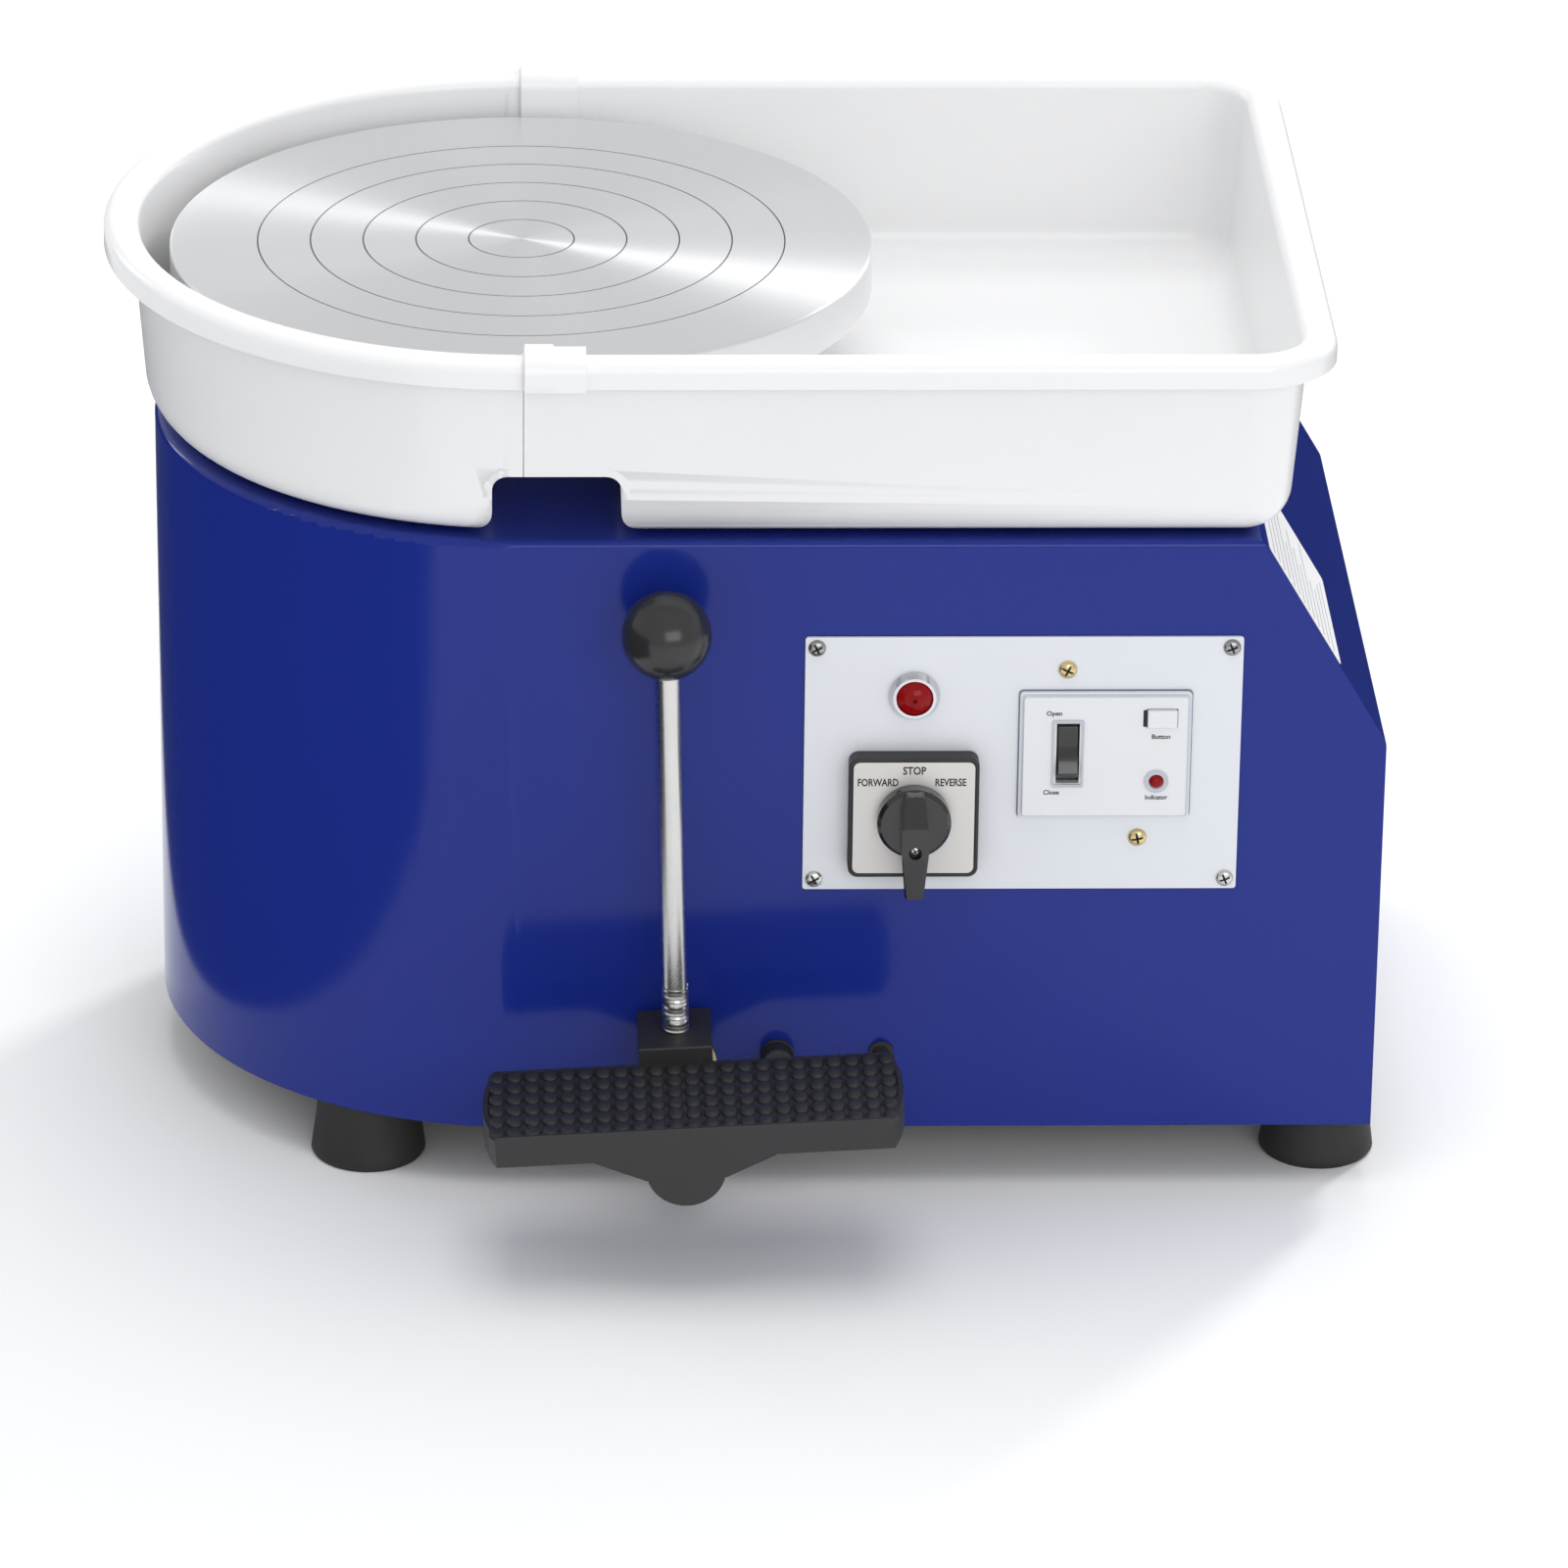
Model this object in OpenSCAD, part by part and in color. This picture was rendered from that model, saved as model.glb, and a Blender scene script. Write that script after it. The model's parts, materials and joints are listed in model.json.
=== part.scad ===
// Table-top electric pottery wheel: a belt-driven wheel head in a two-piece splash tray,
// on a sheet-metal body with a control panel, a rocking speed pedal and a hand lever.
// Every piece is modelled about the wheel's axis, with the floor at z = 0, and place()
// then moves the whole machine so that its base is centred on the origin.

/* [Wheel head] */
// Radius of the aluminium wheel head
head_r = 140; // [120:1:160]
// Thickness of the wheel head
head_t = 19; // [14:1:24]
// Spacing of the centring grooves
groove_step = 21; // [16:1:24]
// Number of centring grooves
grooves = 5; // [2:1:6]
// Depth of the wheel head's face below the tray's rim
head_drop = 12.5; // [8:0.5:16]
// Thickness of the hub's flange
hub_flange_t = 8; // [6:0.5:10]
// Gap between the hub's flange and the tray's collar below it
hub_gap = 4; // [2:0.5:8]

/* [Body] */
// Half of the body's depth, which is also the radius of its round end
body_half = 147; // [140:1:170]
// Distance from the wheel's axis to the body's square end
body_right = 338; // [320:1:380]
// Height of the deck above the floor
deck_z = 280; // [260:1:320]
// Sheet thickness of the body
sheet = 2; // [1.2:0.1:3]
// Radius of the bend where the walls meet the deck
bend_r = 3; // [2.5:0.1:6]
// Length of the sloping face, measured along the deck
slope_run = 51; // [30:1:70]
// Height of the sloping face
slope_drop = 86; // [60:1:110]

/* [Splash tray] */
// Height of the tray's rim above the deck
tray_h = 81.5; // [70:0.5:95]
// How far the rim stands out beyond the body's half depth
rim_over = 19; // [15:0.5:25]
// Distance from the wheel's axis to the rim's square end
tray_right = 314; // [300:1:340]
// Wall thickness of the tray
tray_t = 3.2; // [2.6:0.1:4]
// Width of the rim's flange
flange_w = 11; // [9:0.5:14]
// Depth of the rim's turned-down lip
lip_h = 10.5; // [8:0.5:14]
// Radius where the wall meets the floor
floor_r = 18; // [12:0.5:20]
// Inward lean of the wall
wall_lean = 4.5; // [2:0.5:8]
// How far the collar around the shaft stands above the hump where the two halves meet
collar_rise = 5.8; // [3:0.1:8]
// Length of the hump in the round half
hump_left = 12; // [10:1:20]
// Length of the hump in the square half
hump_right = 38; // [32:1:45]
// Depth of the socket that the round half plugs into
socket = 21; // [12:1:24]
// Gap between the collar around the shaft and the bolts inside it
collar_gap = 2.4; // [1.5:0.1:6]

/* [Control panel] */
// Left edge of the panel
panel_x = 109.8; // [105:0.1:115]
// Distance from the deck down to the panel's lower edge
panel_drop = 148; // [140:1:155]
// Width of the panel
panel_w = 170.7; // [165:0.1:180]
// Height of the panel
panel_h = 108; // [100:1:115]
// Thickness of the panel
panel_t = 1.2; // [0.8:0.1:2]
// Width of the switch's frame
switch_w = 51; // [48:0.5:54]
// Radius of the switch knob's base
knob_r = 14.5; // [13:0.5:16]
// Width of the breaker's frame
breaker_w = 67; // [66:0.5:70]
// Height of the breaker's frame
breaker_h = 53.5; // [53:0.5:60]
// Tilt of the breaker's rocker to each side
rocker_tilt = 12; // [8:1:14]

/* [Pedal and hand lever] */
// Length of the pedal plate
pedal_l = 164; // [150:1:175]
// Depth of the pedal plate
pedal_d = 57.5; // [50:0.5:65]
// Thickness of the pedal plate
pedal_t = 13; // [11:0.5:15]
// Gap between the body and the pedal plate
pedal_gap = 39; // [36:1:45]
// Radius of the pedal's hub
pedal_hub_r = 15.5; // [13:0.5:18]
// Height of the pedal's shaft above the floor
pedal_z = 57; // [54:1:62]
// Distance from the wheel's axis to the pedal's shaft
pedal_x = 62.7; // [55:0.1:70]
// Radius of the pedal's shaft
pedal_shaft_r = 6; // [5:0.5:7]
// Resting tilt of the pedal
pedal_tilt = 3; // [0:0.5:5]
// Height of the ball knob's centre above the pedal's shaft
lever_h = 193; // [170:1:210]
// Radius of the lever's rod
rod_r = 4.8; // [4:0.1:5]
// Radius of the ball knob
ball_r = 17.5; // [15:0.5:20]

/* [Drive] */
// Radius of the wheel's shaft
shaft_r = 10; // [9:0.5:12]
// Outer radius of the shaft's bearings
bearing_r = 21; // [20:0.5:24]
// Width of the shaft's bearings
bearing_w = 12; // [10:1:14]
// Wall of the housing around the bearings
housing_wall = 4.5; // [3.5:0.5:6]
// Distance from the wheel's axis to the motor's axis
motor_x = 205; // [195:1:215]
// Radius of the motor's can
motor_r = 52; // [45:1:56]
// Radius of the large pulley where the belt runs
big_pulley_r = 80; // [70:1:90]
// Radius of the motor's pulley where the belt runs
small_pulley_r = 20; // [16:1:24]
// Width of the belt
belt_w = 14; // [10:1:16]
// Radius of the motor's shaft
motor_shaft_r = 6; // [5:0.5:7]

/* [Feet] */
// Height of a rubber foot
foot_h = 27; // [22:1:35]
// Radius of a foot where it stands
foot_r = 23; // [20:0.5:26]
// Distance from the wheel's axis to the left feet
foot_left = 62; // [50:1:70]
// Distance from the wheel's axis to the right feet
foot_right = 320; // [300:1:325]
// Half of the distance between the front and the back feet
foot_y = 111; // [100:1:115]

/* [Hidden] */
$fn = 96;

fit = 0.05;         // running clearance on a radius
gap = 0.3;          // gap between pieces that move past each other
eps = 0.5;          // overshoot of a cut

// Fasteners: the radii of shanks and holes, then heads and nuts across their flats and in height
m4_r = 2;
m5_r = 2.5;
m6_r = 3;
m5_w = 8;
m5_head_h = 3.5;
m5_nut_h = 4;
m6_w = 10;
m6_head_h = 4;
m6_nut_h = 5;
pan_r = 3.5;
pan_h = 2;

// Body
base_z = foot_h;
fold_r = 6;
foot_recess_r = 7.5;
foot_recess_h = 10;
base_screw_x = [20, motor_x - 20, body_right - 30];
vent_pos = [for (i = [0:6]) motor_x - 42 + 14 * i];
shaft_hole_r = shaft_r + 6;
side_slope = atan2(slope_drop, slope_run);
slope_x = body_right - slope_run;
slope_z = deck_z - slope_drop;

// Tray: heights, and widths measured out from the centres of the square end's corners
rim_half = body_half + rim_over;
tray_z = deck_z + 1;
rim_z = deck_z + tray_h;
wall_top = rim_half - flange_w;
corner_in = wall_top - wall_lean - floor_r - 1.5;
wall_x1 = wall_top - corner_in;
wall_x0 = wall_x1 - wall_lean;
lip_x = rim_half - corner_in - tray_t;
flange_z = rim_z - tray_t;
inner_bend = 2;
lip_bend = 1.5;
corner_x = tray_right - (rim_half - corner_in);
head_z = rim_z - head_drop;
head_low = head_z - head_t;
collar_z = head_low - hub_flange_t - hub_gap;
hump_z = collar_z - collar_rise - tray_t;
hump_h = hump_z - tray_z;
hump_foot_r = min(12, 0.43 * hump_h);
hump_top_r = hump_foot_r / 2;
hump_wall_r = 7;
fill_z = flange_z - 8;
band_t = 2 * tray_t;
slot_o = [1.4, 4.0];
tongue_o = [slot_o[0] + gap, slot_o[1] - gap];

// Wheel head and shaft: the housing's bolts stand between its wall and the tray's collar
housing_r = bearing_r + housing_wall;
housing_bolt_r = housing_r + m5_w / 2 + 1.5;
collar_r = housing_bolt_r + m5_w / 2 + 0.6 + collar_gap;
hub_flange_r = collar_r + 7;
hub_screw_pcr = hub_flange_r - 8;
hub_screw_in = 9;
hub_r = 23;
hub_low = deck_z + 16;
housing_top = deck_z - sheet;
housing_h = 73;
housing_low = housing_top - housing_h;
housing_flange_t = 8;
pulley_z = housing_low - 20;
pulley_w = belt_w + 12;
pulley_low = pulley_z - pulley_w / 2;
pulley_boss_h = pulley_w + 8;
pulley_boss_low = pulley_z - pulley_boss_h / 2;
shaft_low = pulley_boss_low + 1;
ring_t = 1.5;
belt_t = 4;
belt_gap = 0.3;

// Motor
motor_top = pulley_low - 12;
bracket_t = 5;
cap_h = 13;
can_top = motor_top - bracket_t - cap_h;
can_low = base_z + 23;
motor_bearing_r = 13;
motor_bearing_w = 8;
leg_y = motor_r + 8;
leg_t = 4;
leg_foot = 18;
leg_bolt = 14;

// Front fittings: centres measured from the wheel's axis and the floor
panel_z = deck_z - panel_drop;
panel_inset = 4.5;
panel_corners = [for (x = [panel_inset, panel_w - panel_inset], z = [panel_inset, panel_h - panel_inset])
    [panel_x + x, panel_z + z]];
lamp_pos = [panel_x + 42.7, panel_z + 83.5];
switch_pos = [panel_x + 42.9, panel_z + 34.3];
breaker_pos = [panel_x + 117.5, panel_z + 58.5];
fuse_pos = [panel_x - 9, base_z + 32];
cord_pos = [panel_x + 32.2, base_z + 33];
frame_t = 8;
face_t = 1.2;
lamp_body_r = 5.9;
spindle_r = 3;
spindle_hole_r = 6;
switch_body_w = switch_w - 7;
switch_body_h = 44;
fuse_body_r = 6;
cord_bush_r = 3.4;

// Breaker: places are measured from its centre
rocker_pos = [-14.6, 1.5];
rocker_slot = [9, 25.6];
rocker_pivot = -3;
button_pos = [22, 16.5];
button_size = [11.6, 7.4];
button_slot = button_size + [2 * gap, 2 * gap];
indicator_pos = [20.3, -10.4];
indicator_r = 2.75;
breaker_screw_pos = [[-15.2, breaker_h / 2 + 9], [13.8, -breaker_h / 2 - 9.5]];
breaker_screw_r = 3.75;
breaker_screw_h = 2.2;
breaker_body_w = breaker_w - 9;
breaker_body_h = breaker_h - 9.5;
breaker_body_d = 42;

// Pedal
bush_flange_t = 4;
bush_r = pedal_shaft_r + 4;
bush_nut_w = 2 * bush_r + 8;
pedal_back = -body_half - pedal_gap;
pedal_front = pedal_back - pedal_d;
block_w = 29;
block_d = pedal_gap - bush_flange_t - gap;
block_low = -14;
block_top = 24.5;
lever_x = -2;
lever_lean = 1.4;
rod_y = pedal_back + block_d / 2;
rod_low = pedal_shaft_r + 2;
plate_lip_h = min(12, pedal_z - base_z - bush_nut_w / 2 - 4);
base_screw_z = base_z + plate_lip_h / 2;
plate_low = 5;
plate_x = 4;
plate_border = 2;
plate_recess = 1;
shaft_inset = 8;
wing_l = 38;
sector_y = -body_half + 25;
sector_t = 8;
module_mm = 1.5;
sector_teeth = 48;
pinion_teeth = 16;
gear_ratio = sector_teeth / pinion_teeth;
sector_pitch_r = module_mm * sector_teeth / 2;
pinion_pitch_r = module_mm * pinion_teeth / 2;
sensor_z = pedal_z + sector_pitch_r + pinion_pitch_r;

// The whole machine's base is centred on the origin
x_low = -rim_half;
x_high = max(foot_right + foot_r, body_right);
y_low = -body_half - pedal_gap - pedal_d;
y_high = rim_half + tray_t;
module place() translate([-(x_low + x_high) / 2, -(y_low + y_high) / 2, 0]) children();

// ---- Shared shapes -------------------------------------------------------------------

function arc(c, r, a0, a1, n = 8) =
    [for (i = [0:n]) c + r * [cos(a0 + (a1 - a0) * i / n), sin(a0 + (a1 - a0) * i / n)]];
function reversed(v) = [for (i = [len(v) - 1:-1:0]) v[i]];

module tube(r_out, r_in, z0, z1) {
    difference() {
        translate([0, 0, z0]) cylinder(r = r_out, h = z1 - z0);
        translate([0, 0, z0 - eps]) cylinder(r = r_in, h = z1 - z0 + 2 * eps);
    }
}

module rounded_square(w, h, r) {
    union() {
        square([w - 2 * r, h], center = true);
        square([w, h - 2 * r], center = true);
        for (x = [-1, 1], y = [-1, 1])
            translate([x * (w / 2 - r), y * (h / 2 - r)]) circle(r);
    }
}

// A pan-head screw standing on z = 0, with a cross recess and its shank below
module pan_screw(head_r, head_t, shank_r, shank_l) {
    difference() {
        cylinder(r = head_r, h = head_t);
        for (a = [0, 90]) rotate(a)
            translate([-head_r * 0.6, -head_r * 0.1, head_t * 0.5])
                cube([head_r * 1.2, head_r * 0.2, head_t]);
    }
    translate([0, 0, -shank_l]) cylinder(r = shank_r, h = shank_l);
}

// A hexagonal bolt head or nut standing on z = 0
module hexagon(across, h) cylinder(r = across / 2 / cos(30), h = h, $fn = 6);

// Puts a piece on the body's front: x to the right, y up and z out of the wall
module on_front(pos) place() translate([pos[0], -body_half, pos[1]]) rotate([90, 0, 0]) children();

// Puts a piece on the pedal's shaft: x along the pedal, y into the body and z up
module on_pedal() place() translate([pedal_x, 0, pedal_z]) rotate([0, -pedal_tilt, 0]) children();

// Extrudes an x-z outline along y, from y0 to y1
module along_y(y0, y1) translate([0, y1, 0]) rotate([90, 0, 0]) linear_extrude(y1 - y0) children();

// ---- Body ----------------------------------------------------------------------------

module body_plan(inset) {
    circle(body_half - inset, $fn = 180);
    translate([0, -(body_half - inset)]) square([body_right + eps, 2 * (body_half - inset)]);
}

// Side view of the body, with the square end's faces moved in by t and its two folds rounded
module body_side(t) {
    low = base_z - eps;
    high = deck_z + eps;
    top_c = [slope_x - fold_r * tan(side_slope / 2), deck_z - fold_r];
    low_c = [body_right - fold_r, slope_z - fold_r * tan((90 - side_slope) / 2)];
    r = fold_r - t;
    out = r * [sin(side_slope), cos(side_slope)];
    polygon([[-body_half - eps, low], [body_right - t, low], [body_right - t, low_c[1]], low_c + out,
             top_c + out, [top_c[0], deck_z - t], [top_c[0], high], [-body_half - eps, high]]);
    translate(top_c) circle(r);
    translate(low_c) circle(r);
}

// Everything inside a wall whose face is moved in by t, from z0 up to the deck less t
module body_block(t, z0) {
    r = bend_r - t;
    intersection() {
        union() {
            translate([0, 0, z0]) linear_extrude(deck_z - bend_r - z0) body_plan(t);
            translate([0, 0, z0]) linear_extrude(deck_z - t - z0) body_plan(bend_r);
            translate([0, 0, deck_z - bend_r]) {
                rotate_extrude(angle = 180, start = 90) translate([body_half - bend_r, 0]) circle(r);
                for (y = [-1, 1]) translate([0, y * (body_half - bend_r), 0]) rotate([0, 90, 0])
                    cylinder(r = r, h = body_right + eps);
            }
        }
        along_y(-body_half - eps, body_half + eps) body_side(t);
    }
}

// Cut-outs in the front wall, in the wall's own x and y
module front_holes() linear_extrude(2 * sheet + 2 * eps, center = true) {
    translate(switch_pos) square(switch_body_w + 2, center = true);
    translate(breaker_pos) square([breaker_body_w + 1, breaker_body_h + 1], center = true);
    translate(lamp_pos) circle(lamp_body_r + gap);
    translate(fuse_pos) circle(fuse_body_r);
    translate(cord_pos) circle(cord_bush_r);
    translate([pedal_x, pedal_z]) circle(bush_r);
    for (p = panel_corners) translate(p) circle(m4_r);
    for (p = breaker_screw_pos) translate(breaker_pos + p) circle(m4_r);
}

module housing_shell() color([0.16, 0.2, 0.52]) place() {
    difference() {
        body_block(0, base_z);
        body_block(sheet, base_z - eps);
        translate([0, 0, deck_z - sheet - eps]) cylinder(r = shaft_hole_r, h = sheet + 2 * eps);
        for (a = [45:90:315]) rotate(a) translate([housing_bolt_r, 0, deck_z - sheet - eps])
            cylinder(r = m5_r, h = sheet + 2 * eps);
        translate([0, -body_half, 0]) rotate([90, 0, 0]) front_holes();
        for (x = vent_pos) translate([x, body_half - sheet / 2, base_z + 60])
            rotate([90, 0, 0]) linear_extrude(2 * sheet, center = true) rounded_square(5, 46, 2.4);
        for (x = base_screw_x) translate([x, body_half + eps, base_screw_z]) rotate([90, 0, 0])
            cylinder(r = m4_r, h = sheet + 2 * eps);
    }
}

module base_plate() color("dimgray") place() {
    intersection() {
        union() {
            difference() {
                translate([0, 0, base_z]) linear_extrude(sheet) body_plan(sheet);
                for (x = [-foot_left, foot_right], y = [-foot_y, foot_y])
                    translate([x, y, base_z - eps]) cylinder(r = m6_r, h = sheet + 2 * eps);
            }
            difference() {
                translate([0, 0, base_z]) linear_extrude(plate_lip_h) body_plan(sheet);
                translate([0, 0, base_z - eps]) linear_extrude(plate_lip_h + 2 * eps) body_plan(2 * sheet);
                for (x = base_screw_x) translate([x, body_half, base_screw_z]) rotate([90, 0, 0])
                    cylinder(r = m4_r, h = 3 * sheet);
            }
        }
        along_y(-body_half, body_half) body_side(sheet);
    }
}

module base_screws() color("silver") place()
    for (x = base_screw_x) translate([x, body_half, base_screw_z]) rotate([-90, 0, 0])
        pan_screw(pan_r, pan_h, m4_r, 2 * sheet + 3);

module rubber_feet() color([0.12, 0.12, 0.12]) place()
    for (x = [-foot_left, foot_right], y = [-foot_y, foot_y]) translate([x, y, 0]) difference() {
        rotate_extrude() polygon([[0, 0], [foot_r - 1, 0], [foot_r, 1.5], [foot_r - 0.6, 6],
            [foot_r - 2, 16], [foot_r - 3, foot_h], [0, foot_h]]);
        translate([0, 0, -eps]) cylinder(r = foot_recess_r, h = foot_recess_h + eps);
        translate([0, 0, -eps]) cylinder(r = m6_r, h = foot_h + 2 * eps);
    }

module foot_bolts() color("silver") place()
    for (x = [-foot_left, foot_right], y = [-foot_y, foot_y]) translate([x, y, 0]) {
        translate([0, 0, foot_recess_h - m6_head_h]) hexagon(m6_w, m6_head_h);
        translate([0, 0, foot_recess_h])
            cylinder(r = m6_r, h = base_z + sheet + m6_nut_h + 3 - foot_recess_h);
        translate([0, 0, base_z + sheet]) hexagon(m6_w, m6_nut_h);
    }

// ---- Splash tray ---------------------------------------------------------------------

// The tray's section at depth o in its wall, from the floor out to the lip. x is measured
// from the corner's centre; the floor starts at x0, and its underside is at z0.
function tray_line(o, x0, z0, r) = concat(
    [[x0, z0 + o]],
    arc([wall_x0 - r, z0 + r], r - o, 270, 360),
    arc([wall_x1 + inner_bend, flange_z - inner_bend], inner_bend + o, 180, 90),
    arc([lip_x - lip_bend, flange_z - lip_bend], lip_bend + o, 90, 0),
    [[lip_x + o, rim_z - lip_h]]);

module tray_section(o, x0, z0, r)
    polygon(concat(tray_line(o[0], x0, z0, r), reversed(tray_line(o[1], x0, z0, r))));

// Region inside the tray's outer face, for trimming what spans it
module tray_inside(x0, top) polygon(concat([[x0, top]], [[x0, tray_z]],
    arc([wall_x0 - floor_r, tray_z + floor_r], floor_r, 270, 360), [[wall_x1, top]]));

module round_sweep() rotate_extrude(angle = 180, start = 90, $fn = 180)
    translate([corner_in, 0]) children();

// Extrudes a section along the front and the back walls, from x = a to x = b
module both_sides(a, b) for (y = [0, 1]) mirror([0, y, 0]) translate([a, 0, 0])
    rotate([90, 0, 90]) linear_extrude(b - a) translate([corner_in, 0]) children();

// Sweeps a section around the square half, from x = from to the end wall
module square_sweep(from) {
    both_sides(from, corner_x) children();
    for (y = [-1, 1]) translate([corner_x, y * corner_in, 0])
        rotate_extrude(angle = 90, start = y > 0 ? 0 : 270) children();
    translate([corner_x, corner_in, 0]) rotate([90, 0, 0]) linear_extrude(2 * corner_in) children();
}

// Straight channel between the two walls, from x = a to x = b
module straight_channel(a, b, o)
    both_sides(a, b) tray_section(o, -corner_in, hump_z, hump_wall_r);

// The hump's side at depth o: up from the tray's floor beside x = side, then level
function hump_line(o, side) =
    let (s = sign(side), foot = arc([0, 0], hump_foot_r - o, 270, s < 0 ? 360 : 180),
         top = arc([0, 0], hump_top_r + o, s < 0 ? 180 : 0, 90))
    concat([for (p = foot) p + [side + s * hump_foot_r, tray_z + hump_foot_r]],
           [for (p = top) p + [side - s * hump_top_r, hump_z - hump_top_r]]);

module hump_side(side) polygon(concat(hump_line(0, side), reversed(hump_line(tray_t, side))));

// The space under the hump
module hump_hollow(side, far) polygon(concat(hump_line(0, side),
    [[far, hump_z], [far, tray_z - eps], [side + sign(side) * hump_foot_r, tray_z - eps]]));

module half_space(x0, x1) translate([x0, -rim_half - 9, 0]) cube([x1 - x0, 2 * rim_half + 18, rim_z + 20]);

module round_splash_tray() color("white") place() difference() {
    union() {
        difference() {
            round_sweep() tray_section([0, tray_t], -corner_in, tray_z, floor_r);
            along_y(-rim_half, rim_half) hump_hollow(-hump_left, 1);
        }
        intersection() {
            round_sweep() tray_section([0, tray_t], -corner_in, hump_z, hump_wall_r);
            half_space(hump_top_r - hump_left, 1);
        }
        intersection() {
            round_sweep() tray_inside(-corner_in, fill_z);
            along_y(-rim_half, rim_half) hump_side(-hump_left);
        }
        straight_channel(-0.5, socket - 1, tongue_o);
        collar(-1);
    }
    shaft_opening();
}

module collar(s) intersection() {
    tube(collar_r + tray_t, collar_r, tray_z, collar_z);
    translate([s > 0 ? gap / 2 : -collar_r - 9, -collar_r - 9, 0])
        cube([collar_r + 9 - gap / 2, 2 * collar_r + 18, rim_z]);
}

module shaft_opening() translate([0, 0, tray_z - eps]) cylinder(r = collar_r, h = collar_z);

module square_splash_tray() color("white") place() difference() {
    union() {
        difference() {
            union() {
                square_sweep(gap) tray_section([0, tray_t], 0, tray_z, floor_r);
                translate([gap, -corner_in, tray_z]) cube([corner_x - gap, 2 * corner_in, tray_t]);
            }
            along_y(-rim_half, rim_half) hump_hollow(hump_right, 0);
        }
        straight_channel(gap, hump_right - hump_top_r, [0, tray_t]);
        intersection() {
            both_sides(gap, corner_x) tray_inside(-corner_in, fill_z);
            along_y(-rim_half, rim_half) hump_side(hump_right);
        }
        straight_channel(gap, socket + 3, [0, band_t]);
        collar(1);
    }
    straight_channel(0, socket, slot_o);
    shaft_opening();
}

// ---- Wheel head and shaft ------------------------------------------------------------

module wheel_head() color([0.8, 0.81, 0.82]) place() difference() {
    rotate_extrude($fn = 240) polygon([[0, head_low], [head_r - 1, head_low], [head_r, head_low + 1],
        [head_r, head_z - 1], [head_r - 1, head_z], [0, head_z]]);
    for (i = [1:grooves]) translate([0, 0, head_z - 0.4]) difference() {
        cylinder(r = i * groove_step + 0.4, h = 1, $fn = 180);
        translate([0, 0, -eps]) cylinder(r = i * groove_step - 0.4, h = 2, $fn = 180);
    }
    for (a = [0:120:240]) rotate(a) translate([hub_screw_pcr, 0, head_low - eps])
        cylinder(r = m5_r, h = hub_screw_in + 1 + eps);
}

module wheel_hub() color("silver") place() difference() {
    union() {
        translate([0, 0, head_low - hub_flange_t]) cylinder(r = hub_flange_r, h = hub_flange_t);
        translate([0, 0, hub_low]) cylinder(r = hub_r, h = head_low - hub_low);
    }
    translate([0, 0, hub_low - eps]) cylinder(r = shaft_r, h = head_low - hub_low + 2 * eps);
    for (a = [0:120:240]) rotate(a) translate([hub_screw_pcr, 0, head_low - hub_flange_t - eps])
        cylinder(r = m5_r, h = hub_flange_t + 2 * eps);
}

module hub_screws() color("gray") place() for (a = [0:120:240]) rotate(a)
    translate([hub_screw_pcr, 0, head_low - hub_flange_t]) {
        cylinder(r = m5_r, h = hub_flange_t + hub_screw_in);
        translate([0, 0, -3]) cylinder(r = 4.5, h = 3);
    }

module wheel_shaft() color("silver") place() difference() {
    union() {
        translate([0, 0, shaft_low]) cylinder(r = shaft_r, h = head_low - shaft_low);
        translate([0, 0, housing_top + gap]) cylinder(r = shaft_r + 4, h = 5);
    }
    translate([0, 0, shaft_low - eps]) cylinder(r = 4, h = 20 + eps);
}

module driven_pulley() color([0.7, 0.71, 0.72]) place() {
    difference() {
        translate([0, 0, pulley_low]) cylinder(r = big_pulley_r + 4, h = pulley_w, $fn = 180);
        translate([0, 0, pulley_low + 3]) tube_cut(big_pulley_r + 9, big_pulley_r, pulley_w - 6);
        translate([0, 0, pulley_low - eps]) tube_cut(big_pulley_r - 6, shaft_r + 8, 10 + eps);
        translate([0, 0, pulley_low + pulley_w - 10]) tube_cut(big_pulley_r - 6, shaft_r + 8, 10 + eps);
        for (a = [0:72:288]) rotate(a) translate([(big_pulley_r + shaft_r) / 2 + 1, 0, pulley_low])
            cylinder(r = 14, h = pulley_w);
        translate([0, 0, pulley_low - eps]) cylinder(r = shaft_r, h = pulley_w + 2 * eps);
    }
    tube(shaft_r + 8, shaft_r, pulley_boss_low, pulley_low);
    tube(shaft_r + 8, shaft_r, pulley_low + pulley_w, pulley_boss_low + pulley_boss_h);
}

module tube_cut(r_out, r_in, h) difference() {
    cylinder(r = r_out, h = h, $fn = 180);
    translate([0, 0, -eps]) cylinder(r = r_in, h = h + 2 * eps);
}

module pulley_bolt() color("silver") place() translate([0, 0, pulley_boss_low]) {
    cylinder(r = 4, h = 18);
    translate([0, 0, -2]) cylinder(r = shaft_r + 4, h = 2);
    translate([0, 0, -7.5]) hexagon(13, 5.5);
}

module bearing_housing() color([0.62, 0.64, 0.66]) place() difference() {
    union() {
        translate([0, 0, housing_low]) cylinder(r = housing_r, h = housing_h);
        translate([0, 0, housing_top - housing_flange_t]) cylinder(r = collar_r, h = housing_flange_t);
    }
    translate([0, 0, housing_top - bearing_w]) cylinder(r = bearing_r, h = bearing_w + eps);
    translate([0, 0, housing_low - eps]) cylinder(r = bearing_r, h = bearing_w + 2 + eps);
    translate([0, 0, housing_low]) cylinder(r = bearing_r - 4, h = housing_h);
    for (a = [45:90:315]) rotate(a) translate([housing_bolt_r, 0, housing_top - housing_flange_t - eps])
        cylinder(r = m5_r, h = housing_flange_t + 2 * eps);
}

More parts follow.
